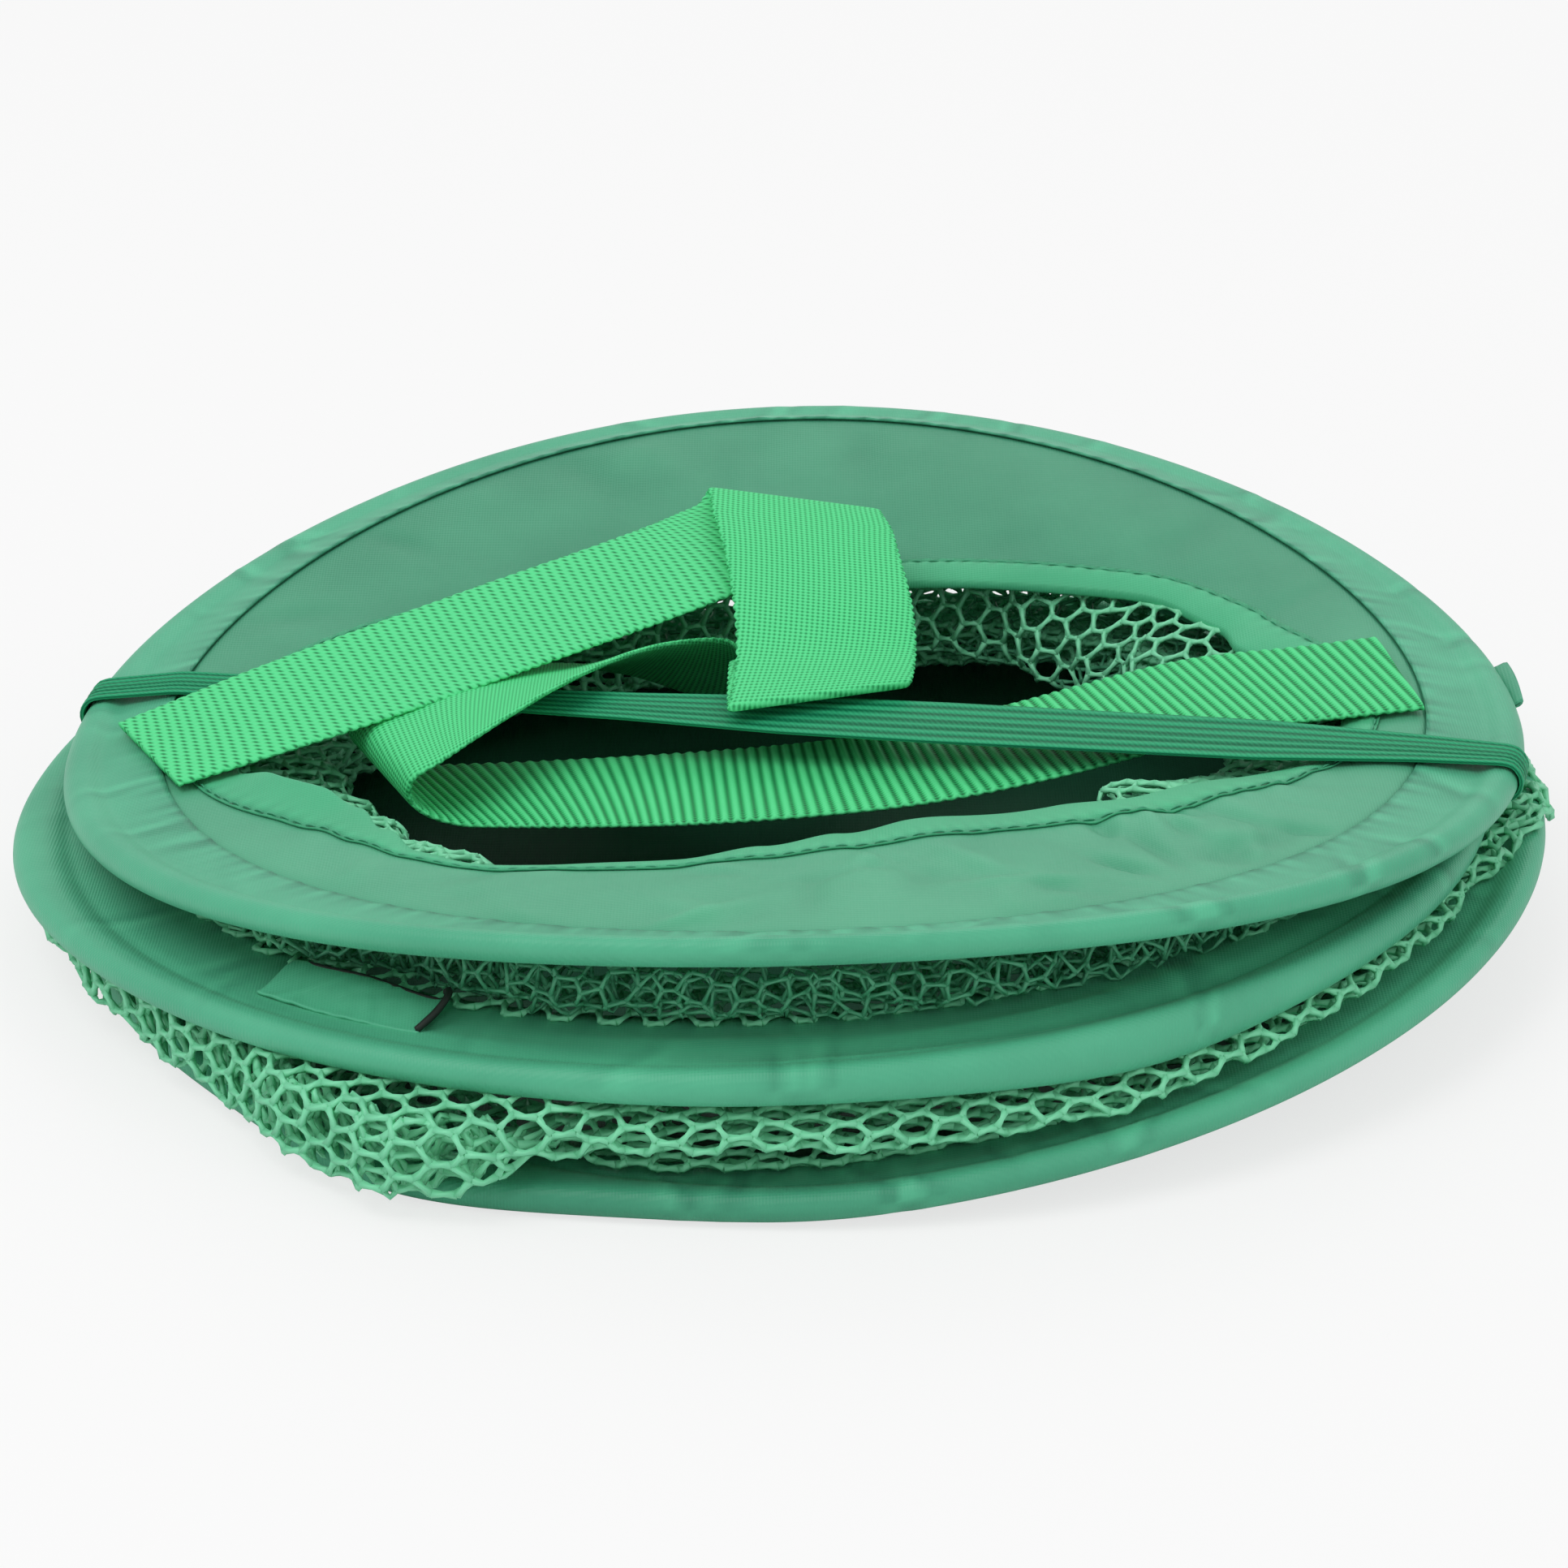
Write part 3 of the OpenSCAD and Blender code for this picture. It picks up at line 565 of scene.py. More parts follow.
def rings_round(centre, side, rise, girth, sides):
    """Rings of points round centres: girth times side and rise by the cosine and sine."""
    b = round_turn(sides)
    out = side[..., None, :] * np.cos(b) + rise[..., None, :] * np.sin(b)
    return centre[..., None, :] + np.asarray(girth)[..., None, None] * out


def tube_faces(count, rings, sides, caps):
    """Faces of many tubes of rings x sides points each, with the faces caps at their ends."""
    faces = np.vstack([grid_faces(rings, sides, False, True), caps])
    return (faces[None] + rings * sides * np.arange(count)[:, None, None]).reshape(-1, 4)


def stitches(name, line, material, up, length, gap, radius):
    """Row of stitches along a closed line, each a capsule of five rings raised in the middle."""
    closed = np.vstack([line, line[:1]])
    run = run_along(closed)
    count = int(run[-1] // (length + gap))
    at = (np.arange(count) * run[-1] / count)[:, None] + np.linspace(0, length, 5)[None, :]
    centre = np.stack([np.interp(at % run[-1], run, closed[:, i]) for i in range(3)], -1)
    side, rise = square_to(unit(np.gradient(centre, axis=1)), np.array([0, 0, 1.0]))
    arch = np.array([-0.3, 0.15, 0.3, 0.15, -0.3])[None, :, None] * radius * 2 + up
    rings = rings_round(centre + rise * arch, side, rise, radius * np.array([0.25, 0.9, 1.0, 0.9, 0.25]), 6)
    caps = [[0, 1, 2, 3], [0, 3, 4, 5], [27, 26, 25, 24], [29, 28, 27, 24]]
    return mesh_of(name, rings, tube_faces(count, 5, 6, caps), material)


line_r = (hem_far + (near - hem_far) * SEWN_AT)[:, 0]
wrinkle = collar_wrinkle(a[:, 0], np.minimum(line_r, SEAM_R[TOP]))
hem_stitches = stitches("hem_stitches", collar_point(a[:, 0], line_r, outer - 0.12 + wrinkle),
                        grainy("hem_thread", (0.06, 0.38, 0.21, 1), *TWIST), 0.05, 2.6, 1.2, 0.22)
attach(hem_stitches, "top")

# ---- Floor cloth -----------------------------------------
# A disc of nylon closes the bottom, coloured near black: its own dark green, darkened further as
# painted shade for the inside of the trap. It lies on the ground in the middle and rises to the
# bottom sleeve, whose seam holds its rim.
FLOOR_FLAT_R = 85.0
FLOOR_STATIONS = 240


def floor_point(a, r, up):
    """Floor cloth: flat inside FLOOR_FLAT_R, then rising as the square of the way to the seam."""
    t = np.clip((r - FLOOR_FLAT_R) / (SEAM_R[BASE] - FLOOR_FLAT_R), 0, 1)
    points = seat(BASE, a, r)
    points[..., 2] = CLOTH_T / 2 + (points[..., 2] - CLOTH_T / 2) * t * t + up
    return points


a = round_turn(FLOOR_STATIONS)
r = np.hstack([0.5, np.linspace(6, 126, 41), SEAM_R[BASE], SEAM_R[BASE] + SEAM_TUCK])[None, :]
ripple = ridges(a, np.maximum(r, 5), 71, 90, (0, 6.283), (10, 118), 0.5, 3.5, 1.5) * smooth((126 - r) / 20)
top_skin = floor_point(a, r, CLOTH_T / 2 + np.abs(ripple))
low_skin = floor_point(a, r, -CLOTH_T / 2)
disc = np.hstack([top_skin, low_skin[:, ::-1]])
# dark green of its own, darkened further as painted shade
floor_nylon = cloth_finish("floor_nylon", (0.006, 0.085, 0.04, 1), (0.001, 0.016, 0.008, 1), 0.7, 0.0)
base_floor_cloth = surface("base_floor_cloth", disc, floor_nylon, 0.7, wrap_rows=True, flip=True)
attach(base_floor_cloth, "base")
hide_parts("base_floor")

# ---- Net walls -------------------------------------------
# Knotless netting with round cells of about 7 mm. Packed, each wall is folded in and out between
# its two hoops: the upper wall under the collar, the lower one with a bulge at the front left.
NET_GAP = 0.6
CLEAR = FLAT_HALF + NET_GAP
FOLD_IN, FOLD_IN_MOST, FOLD_OUT = 100.0, 126.0, 134.0
TUCK_MOST = 24.0
WALL_L = 148.0
WALL_STATIONS, WALL_STEPS = 360, 160
CORNER_CUTS, CRUMPLE_WAVES = 3, 14
JITTER_ROUND, JITTER_DOWN = 0.035, 0.09


def fold_table(k_up, k_low, folds, seed, crumple):
    """Points of a folded wall. At each angle the depth of the fold, or a tuck inside it, makes the
    list [radius, height, share of the shift] WALL_L long. Three corner-cutting passes round it, it
    is read at even lengths, and a sum of random sines crumples all but its sewn edges."""
    a = round_turn(WALL_STATIONS)[:, 0]

    def steps_of(line):
        """Lengths of a line's steps in radius and height."""
        return np.hypot(np.diff(line[..., 0]), np.diff(line[..., 1]))

    def lines(depth, tuck):
        """The fold list at every angle, as one array."""
        return np.stack([grids(r + 0 * a, z, s) for r, z, s in folds(a, depth, tuck)], axis=1)

    spare = (np.sum(steps_of(lines(FOLD_IN, 0)), axis=1) - WALL_L) / 2
    line = lines(np.clip(FOLD_IN + spare, FOLD_IN, FOLD_IN_MOST), np.clip(-spare, 0, TUCK_MOST))
    for _ in range(CORNER_CUTS):
        cut = np.empty((len(a), 2 * (line.shape[1] - 1), 3))
        cut[:, 0::2] = 0.75 * line[:, :-1] + 0.25 * line[:, 1:]
        cut[:, 1::2] = 0.25 * line[:, :-1] + 0.75 * line[:, 1:]
        line = np.hstack([line[:, :1], cut, line[:, -1:]])
    run = np.pad(np.cumsum(steps_of(line), axis=1), ((0, 0), (1, 0)))
    run /= run[:, -1:]
    steps = np.linspace(0, 1, WALL_STEPS)
    out = np.stack([[np.interp(steps, run[i], line[i, :, c]) for i in range(len(a))] for c in range(3)], -1)
    rng = np.random.default_rng(seed)
    waves = np.zeros((2, len(a), WALL_STEPS))
    for _ in range(CRUMPLE_WAVES):
        turns, beats = rng.integers(5, 34), rng.uniform(0.5, 5)
        phases = rng.uniform(0, 6.28, 2)
        for wave, sign, phase in zip(waves, (1, -1), phases):
            wave += rng.uniform(0.2, 1.0) * np.sin(turns * a[:, None] + sign * beats * 6.28 * steps + phase)
    free = smooth(steps / 0.12) * smooth((1 - steps) / 0.12) / 3.0
    radius, height = out[..., 0] + crumple[0] * waves[0] * free, out[..., 1] + crumple[1] * waves[1] * free
    centre = (1 - out[..., 2:]) * SHIFT[k_up] + out[..., 2:] * SHIFT[k_low]
    return grids(centre[..., 0] + radius * np.cos(a)[:, None],
                 centre[..., 1] + radius * np.sin(a)[:, None], height)


def read_table(table, u, v):
    """Bilinear reading of a fold table at shares u round the wall and v down it."""
    x, y = (u % 1.0) * table.shape[0], np.clip(v, 0, 1) * (table.shape[1] - 1)
    i, j = np.floor(x).astype(int), np.minimum(np.floor(y).astype(int), table.shape[1] - 2)
    fx, fy = (x - i)[..., None], (y - j)[..., None]
    i0, i1 = i % table.shape[0], (i + 1) % table.shape[0]
    return ((1 - fx) * (1 - fy) * table[i0, j] + fx * (1 - fy) * table[i1, j]
            + (1 - fx) * fy * table[i0, j + 1] + fx * fy * table[i1, j + 1])


def netting(name, table, columns, rows, thick, thin, gather, tangle):
    """Honeycomb of strands on a fold table. Nodes stand in zigzag columns; strands run down each
    column and link every second node to the next one. A strand is a four-sided tube of three
    rings, thinner in the middle, which rounds the holes. The columns are closer at the front by
    the share gather. tangle, from the shares round and down the wall, is how far a node strays;
    where it is large the cord is thinner, and darker as painted shade for the bunched net.
    Returns the object and the share down the wall of each vertex."""
    c, m = np.meshgrid(np.arange(columns), np.arange(2 * rows + 1), indexing="ij")
    link = (c + m) % 2 == 0
    rng = np.random.default_rng(len(name))
    around = (c + np.where(link, 1, -1) / 6.0 + rng.normal(0, JITTER_ROUND, c.shape)) / columns
    around = around + gather / 6.283 * np.sin(6.283 * (around - 0.25))
    down = (m + rng.normal(0, JITTER_DOWN, m.shape)) / (2 * rows)
    start = np.hstack([c[:, :-1].ravel(), c[link]]), np.hstack([m[:, :-1].ravel(), m[link]])
    to_c = np.hstack([c[:, :-1].ravel(), c[link] + 1])
    stop = to_c % columns, np.hstack([m[:, :-1].ravel() + 1, m[link]])
    t = np.array([0.0, 0.5, 1.0])[None, :]
    u = around[start][:, None] * (1 - t) + (around[stop] + to_c // columns)[:, None] * t
    v = down[start][:, None] * (1 - t) + down[stop][:, None] * t
    stray = rng.normal(0, 1, c.shape + (3,)) * tangle(around, down)[..., None]
    first, last = stray[start], stray[stop]
    centre = read_table(table, u, v) + np.stack([first, (first + last) / 2, last], axis=1)
    way = unit(centre[:, 2] - centre[:, 0])
    side, rise = square_to(way, np.where(np.abs(way[:, 2:]) > 0.8, [[1.0, 0, 0]], [[0, 0, 1.0]]))
    slim = 1 - 0.45 * smooth((tangle(u, v) - 0.15) / 0.5)
    rings = rings_round(centre, side[:, None], rise[:, None], np.array([thick, thin, thick]) * slim, 4)
    # painted shade: the tangled, bunched net is drawn darker
    shade = 1 - 0.62 * smooth((tangle(u, v) - 0.15) / 0.3)
    faces = tube_faces(len(centre), 3, 4, [[0, 1, 2, 3], [11, 10, 9, 8]])
    return mesh_of(name, rings, faces, net_cord, np.repeat(shade, 4)), np.repeat(v, 4)


# extruded net cord: waxy plastic with uneven colour, darkened where a vertex carries painted shade
paint = Paint("net_cord")
net_cord = paint.coat(Base_Color=paint.tint_with_shading((0.02, 0.22, 0.11, 1), (0.22, 0.76, 0.44, 1), 120.0, 3.0),
                      Roughness=0.42, Specular_IOR_Level=0.5)


def height_at(k, a, r):
    """Height of a hoop's surface at angle a and radius r."""
    return seat(k, a, r)[..., 2]


# inner ply of the upper wall: degrees, how far it leans into the mouth, how far it hangs down
INNER_PLY = [[0, 4, 6], [14, 12, 14], [26, 18, 21], [38, 16, 22], [50, 17, 24], [70, 18, 25],
             [110, 18, 25], [135, 12, 18], [155, 8, 10], [180, 8, 9], [200, 14, 12], [222, 14, 13],
             [240, 6, 7], [270, 0, 3], [300, 3, 3], [319, 20, 4], [332, 27, 5], [344, 12, 4], [360, 4, 6]]


def upper_folds(a, depth, tuck):
    """Fold list of the upper wall: from the top seam in under the collar, down the inside, out to
    bunched plies, in again, and down to the middle sleeve."""
    def under(r):
        """Height of a net that hangs just below the collar at radius r."""
        return collar_point(a, r)[..., 2] - CLEAR - between(a, EDGE_SLACK, 2)

    near = opening_r(a)
    r1 = np.where(near > FOLD_IN + 3, near - 1, FOLD_IN + 9)
    r2, r3 = SEAM_R[MID] + SEAM_TUCK, SEAM_R[TOP] + SEAM_TUCK
    z1, z2 = under(r1), height_at(MID, a, r2) + CLEAR
    d = z1 - z2
    lean, hang = between(a, INNER_PLY, 1), between(a, INNER_PLY, 2)
    top = np.minimum(z1, under(np.maximum(FOLD_IN - 0.7 * lean, near)) - 0.4) - 0.03 * d
    low = np.maximum(z1 - 0.93 * d, height_at(MID, a, SEAM_R[MID]) + CLEAR + 0.1)
    in_top = top - 0.84 * d
    out = FOLD_OUT - 1 - 7 * bell(a, 236, 12)
    tall = 0.66 - 0.28 * smooth(0.3 + 1.2 * np.sin(a))
    plies = [(out - 2 * (i // 2), top - (0.12 + (tall if i % 4 in (0, 3) else 0)) * d, 0.5) for i in range(8)]
    return [(r3, height_at(TOP, a, r3) - CLEAR, 0),
            (SEAM_R[TOP] - 0.5, height_at(TOP, a, SEAM_R[TOP]) - CLEAR, 0.02), (r1, z1, 0.05),
            (FOLD_IN - 0.7 * lean, top - 0.08 * hang, 0.1),
            (FOLD_IN - lean, top - 0.5 * hang, 0.17), (FOLD_IN - lean + 1, top - hang, 0.25), *plies,
            (depth, in_top, 0.75), (depth + tuck, 0.5 * (in_top + low), 0.8), (depth, low, 0.9), (r2, z2, 1)]


# front ply of the lower wall: degrees, radius, start below the bead, height, share of bunched plies
LOWER_PLY = [[150, 149, 0.6, 3, 0.3], [180, 148, 0.5, 5, 0.8], [195, 148.5, 0.5, 6.5, 1],
             [208, 147.5, 0.5, 8, 1], [219, 146.5, 0.5, 10.5, 1], [229, 150, 0.5, 13, 1],
             [238, 157.5, 0.5, 15, 1], [245, 162.5, 0.6, 15, 1], [250, 159.5, 0.8, 13.5, 1],
             [256, 152, 1.2, 8, 0.3], [261, 150.2, 2.4, 5.4, 0], [288, 150.2, 2.4, 5.2, 0],
             [296, 151.2, 1.4, 4.2, 0], [304, 150.8, 0.9, 3, 0], [313, 149.8, 0.8, 2.4, 0],
             [330, 149.4, 0.8, 2.2, 0], [339, 150, 0.8, 2.6, 0], [346, 154, 0.5, 4, 0.4],
             [351, 160.4, 0.3, 5, 1], [355, 161.2, 0.3, 7, 1], [366, 160.8, 0.3, 7, 1],
             [371, 158.5, 0.4, 4, 0.6], [382, 151, 0.5, 5, 0.7], [425, 149, 0.5, 13, 0.4],
             [485, 149, 0.5, 13, 0.4], [510, 149, 0.6, 3, 0.3]]


def lower_folds(a, depth, tuck):
    """Fold list of the lower wall: down past the middle bead to a ply of open cells that flops out
    at the front left and the right rim, four bunched plies behind it there, in again, and out to
    the bottom sleeve, where a second edge shows at the front."""
    out, drop, tall, bunch = [between(a, LOWER_PLY, c) for c in (1, 2, 3, 4)]
    r2 = SEAM_R[BASE] + SEAM_TUCK
    z1 = height_at(MID, a, WIRE_R) - BEAD_R - NET_GAP - mid_droop(a)
    z2 = height_at(BASE, a, r2) + CLEAR
    bead = height_at(BASE, a, WIRE_R) + BEAD_R + NET_GAP + 0.4
    bead_r = WIRE_R + np.dot(np.subtract(SHIFT[BASE], SHIFT[MID]), [np.cos(a), np.sin(a)])

    def clear(r, z):
        """Keeps a ply above the bottom bead, as far as the middle bead lets it."""
        return np.where(np.abs(r - bead_r) < BEAD_R, np.maximum(z, np.minimum(bead, z1 - 0.2)), z)

    top = z1 - drop
    low = clear(out + 0.3, top - tall)
    back = smooth(0.5 + 1.2 * np.sin(a))
    inner_top = (1 - back) * np.minimum(top - tall - 3, 0.5 * (z1 + z2)) + back * (z1 - 0.12 * (z1 - z2))
    inner_top = np.maximum(inner_top, z2 + 4)
    inner_low = (1 - back) * (z2 + 2.2) + back * (z2 + 0.1 * (z1 - z2))
    edge = np.clip(149 - 0.5 * (np.degrees(a) % 360 - 252), 137, 150)
    edge = r2 + 1.5 + (edge - r2 - 1.5) * bell(a, 264, 14) ** 0.5
    near_bead = np.where(edge > 142, bead, z2 + 0.8 + (bead - z2 - 0.8) * smooth((edge - 134) / 8))
    depth = depth - 6 * bell(a, 100, 40)
    ring = smooth((drop - 1) / 0.8)
    plies = []
    for i in range(8):
        share, layer = (i + 1) / 8, (i + 2) // 2
        ply_z = low - 0.3 * layer if i % 4 in (0, 3) else top - 0.8
        slope_z = np.maximum(low + 0.6 * share, z2 + 1.5)
        r = bunch * (out - 2.1 * layer) + (1 - bunch) * (out - 16 * share)
        plies.append((r, clear(r, bunch * ply_z + (1 - bunch) * slope_z), 0.06))
    return [(140.0, height_at(MID, a, 140.0) - CLEAR, 0), (WIRE_R - 8 * ring, z1 - ring * (drop - 0.4), 0.02),
            (out, top, 0.04), (out + 0.3, low, 0.06), *plies,
            (depth, inner_top, 0.5), (depth + tuck, 0.5 * (inner_top + inner_low), 0.6),
            (depth, inner_low, 0.8), (edge, near_bead, 1), (r2, z2, 1)]


def upper_tangle(u, v):
    """The bunched plies, from 0.4 to 0.85 of the way down, are the tangled part, which netting also paints
    darker as shade.
    """
    return 0.12 + 0.35 * smooth((v - 0.4) / 0.1) * smooth((0.85 - v) / 0.1)


upper_table = fold_table(TOP, MID, upper_folds, 3, (2.2, 0.5))
upper_netting, share_down = netting("upper_netting", upper_table, 126, 22, 0.85, 0.52, 0.28, upper_tangle)
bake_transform(upper_netting, "base", "top", start=(0, 0, 0.02), end=(0, 0, 0.05))
attribute(upper_netting, "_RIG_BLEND", 1.0 - 0.5 * share_down)
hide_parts("upper_net")

lower_table = fold_table(MID, BASE, lower_folds, 4, (1.2, 0.3))
lower_netting, share_down = netting("lower_netting", lower_table, 148, 21, 1.0, 0.6, 0.0,
                                    lambda u, v: 0.12 + 0 * u)
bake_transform(lower_netting, "base", "mid", start=(0, 0, 0.005), end=(0, 0, 0.025))
attribute(lower_netting, "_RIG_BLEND", 1.0 - share_down)
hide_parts("lower_net")

# ---- Carry strap -----------------------------------------
# Bright 38 mm webbing, sewn to the collar seam at both ends. It runs up from the left, folds
# over, curls round at the left and crosses to the right below the elastic band.
STRAP_W, STRAP_T = 38.0, 1.6
STRAP_STEP, SPLINE_READS = 0.42, 6000
RIB_PITCH, RIB_LEAN = 2.45, 0.1
strap_left_edge = np.array([
    [-139.5, -1, 34], [-108, 17, 41], [-72, 41, 46.5], [-38, 64, 51], [-23, 77, 53], [-20, 82, 55],
    [-19, 77, 57], [-15, 52, 55], [-12.5, 30, 50.5], [-11.5, 10, 45], [-13, -13.6, 42.4], [-13, 12, 42.2],
    [-11, 22, 37.5], [-14, 30, 40.5], [-30, 18, 43.5], [-48, -6.2, 44.8], [-62, -26, 42.6],
    [-70, -34, 39.8], [-76, -37, 36.6], [-76, -35, 30.4], [-69, -36, 27], [-57, -38, 27], [-18, -41, 29],
    [22, -37, 31], [53, -28, 33.5], [89, -14, 37.5], [113, -13, 40.5], [129, -12, 42]])
strap_right_edge = np.array([
    [-123, -36, 35.2], [-86, -14, 39.5], [-51, 10, 43.5], [-17, 33, 48], [13, 58, 52], [19.5, 67, 55],
    [20.5, 62, 57], [22.5, 45, 55], [25, 25, 50.5], [25.5, 12, 45], [24, -0.5, 42.6], [23, 25, 37],
    [14, 46, 24], [-10, 57, 14.5], [-36, 50, 25], [-51, 23.5, 37.2], [-66, 8.5, 40.6], [-81, 1.5, 39.2],
    [-90, -3, 37.7], [-91, -3, 32], [-82, -2, 26], [-68, -3, 25.5], [-17, -3, 28.5], [19, 1, 31],
    [45, 9, 34], [80, 23, 38], [106, 24, 41], [123, 24, 43.3]])


def spline(points, s):
    """Catmull-Rom curve through the points at the parameters s."""
    n = len(points)
    i = np.clip(np.floor(s).astype(int), 0, n - 2)
    t = (s - i)[:, None]
    b, c = points[i], points[i + 1]
    a = np.where((i > 0)[:, None], points[np.maximum(i - 1, 0)], 2 * b - c)
    d = np.where((i < n - 2)[:, None], points[np.minimum(i + 2, n - 1)], 2 * c - b)
    return b + 0.5 * t * (c - a + t * (2 * a - 5 * b + 4 * c - d + t * (3 * b - a - 3 * c + d)))


def even_steps(left, right, spacing):
    """Parameters of evenly spaced stations of a ribbon between two splines, and their lengths."""
    fine = np.linspace(0, len(left) - 1, SPLINE_READS)
    run = run_along((spline(left, fine) + spline(right, fine)) / 2)
    length = np.linspace(0, run[-1], int(run[-1] / spacing) + 1)
    return np.interp(length, run, fine), length


def shut(points):
    """Shuts the ends of a closed section by a row on its middle surface at each."""
    first, last = [(row + row[:, ::-1]) / 2 for row in (points[:1], points[-1:])]
    return np.vstack([first, points, last])


def ribbon(name, left, right, material, length, across, height, low_height, sides=0.0):
    """Closed band between two edge lines. across runs from 0 to 1; height and low_height lift the
    two faces off the middle surface along its normal; sides pushes the edges out. Returns the
    object, with its UV map in millimetres, and its points."""
    over = right - left
    normal = unit(np.cross(np.gradient(left + right, axis=0), unit(over)))[:, None]
    push = np.where(across < 0.5, -1, 1) * np.exp(-np.minimum(across, 1 - across) * 60)
    middle = left[:, None] + over[:, None] * across[None, :, None]
    middle = middle + unit(over)[:, None] * (push[None, :] * sides)[..., None]
    face, back = middle + normal * height[..., None], middle - normal * low_height[..., None]
    width = float(np.linalg.norm(over, axis=1).mean())
    v = np.hstack([across * width, 2 * width + 2 - across[::-1] * width])
    points = shut(np.hstack([face, back[:, ::-1]]))
    uv = grids(np.pad(length, 1, mode="edge")[:, None], v[None, :])
    return surface(name, points, material, across=uv), points


def ramp_coat(paint, height, stops, roughness, specular, strength, distance):
    """Ends a woven material: a colour ramp and a bump, both read from one height, so the low parts are
    painted darker as shade.
    """
    ramp = paint.add("ValToRGB", Fac=height)
    elements = ramp.color_ramp.elements
    for element, (position, colour) in zip((elements[0], elements[1]), (stops[0], stops[-1])):
        element.position, element.color = position, colour
    for position, colour in stops[1:-1]:
        elements.new(position).color = colour
    bump = paint.add("Bump", Strength=strength, Distance=distance, Height=height)
    return paint.coat(Base_Color=ramp, Roughness=roughness, Normal=bump, Specular_IOR_Level=specular)


def webbing_finish(name, colour, dark, deep):
    """Flat woven webbing along its UV map: crossed sines make the basket weave with small holes, a
    finer pair the twill, and slanted waves the bold ribs. The holes, hollows and rib troughs are
    painted near black as shade."""
    paint = Paint(name)
    u, v, _ = paint.add("SeparateXYZ", Vector=paint.add("UVMap", uv_map="cloth")).outputs

    def wave(du, dv, offset=0.0):
        """Sine of du turns per millimetre along, dv across, and an offset."""
        slant = paint.math("MULTIPLY_ADD", v, dv * 2 * math.pi, offset)
        return paint.math("SINE", paint.math("MULTIPLY_ADD", u, du * 2 * math.pi, slant))

    def mixed(kind, one, two):
        """From one to two by the vertex attribute kind."""
        return paint.add("Mix", data_type="FLOAT", i0=paint.attribute(kind), i2=one, i3=two)

    basket = paint.math("MULTIPLY", wave(1 / 2.1, 0.16), wave(0.05, 1 / 3.6))
    twill = paint.math("MULTIPLY", wave(0.5, 0.4), wave(0.4, -0.5))
    yarns = paint.math("MULTIPLY_ADD", wave(0.0, 1.05), 0.12, 0.0)
    ribs = wave(1 / RIB_PITCH, RIB_LEAN / RIB_PITCH, math.pi / 2)
    ribs = paint.math("ADD", paint.math("MULTIPLY_ADD", ribs, 0.36, 0.56), yarns)
    flat = mixed("holes", paint.math("MULTIPLY_ADD", twill, 0.42, 0.62),
                 paint.math("MULTIPLY_ADD", basket, 0.62, 0.74))
    # colour by the weave's height: deep and dark are painted shade in its hollows, holes and rib troughs
    return ramp_coat(paint, mixed("bold", flat, ribs), ((0.08, deep), (0.36, dark), (0.72, colour)),
                     0.62, 0.3, 0.5, 0.0005)


steps, length = even_steps(strap_left_edge, strap_right_edge, STRAP_STEP)
left, right = spline(strap_left_edge, steps), spline(strap_right_edge, steps)
centre, over = (left + right) / 2, right - left
wide = np.linalg.norm(over, axis=1, keepdims=True)
half = over / wide * np.clip(wide, STRAP_W - 4, STRAP_W + 2) / 2
across = np.hstack([[0, 0.004, 0.02], np.linspace(0.05, 0.95, 15), [0.98, 0.996, 1]])
# how much each stretch shows open holes, fine twill or bold ribs
holes, bold = smooth((5.2 - steps) / 0.6), smooth((steps - 19.0) / 1.0)
rib = np.cos(2 * math.pi * (length[:, None] + RIB_LEAN * across[None, :] * STRAP_W) / RIB_PITCH)
edge_round = np.sqrt(np.clip(1 - (np.abs(2 * across - 1)) ** 40, 0.02, 1))[None, :]
lift = bold[:, None] * 0.26 * rib
serration = 0.7 * np.abs(np.cos(math.pi * length[:, None] / 2.6)) ** 0.7 - 0.3
webbing = webbing_finish("strap_webbing", (0.10, 0.78, 0.30, 1), (0.03, 0.48, 0.15, 1),
                         (0.002, 0.10, 0.03, 1))
carry_strap_webbing, points = ribbon(
    "carry_strap_webbing", centre - half, centre + half, webbing, length, across,
    (0.4 * STRAP_T + lift) * edge_round, (0.4 * STRAP_T - 0.6 * lift) * edge_round, serration)
for name, values in (("holes", holes), ("bold", bold)):
    attribute(carry_strap_webbing, name, np.repeat(np.pad(values, 1, mode="edge"), points.shape[1]))
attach(carry_strap_webbing, "top")
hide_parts("carry_strap")

# ---- Elastic band ----------------------------------------
# Braided elastic, 20 mm wide, with seven lengthwise ribs. It is drawn straight over the top hoop,
# turns down round both rims and is sewn to the middle sleeve.
BAND_W, BAND_T = 20.0, 1.0
BAND_LEFT, BAND_RIGHT = math.radians(172), math.radians(-14)
BAND_RIBS, BAND_STEP = 7, 1.0
BAND_SEWN_AT = 145.0
band_turn = BEAD_R + 0.8 + BAND_T / 2
left_spot = np.array([math.cos(BAND_LEFT), math.sin(BAND_LEFT)])
band_way = unit(np.array([math.cos(BAND_RIGHT), math.sin(BAND_RIGHT)]) - left_spot)
band_side = np.array([-band_way[1], band_way[0]])
band_off = WIRE_R * float(np.dot(left_spot, band_side))


def band_place(s, e):
    """Point in plan at length s along the band's line and e across it."""
    return s * band_way + (band_off + e) * band_side


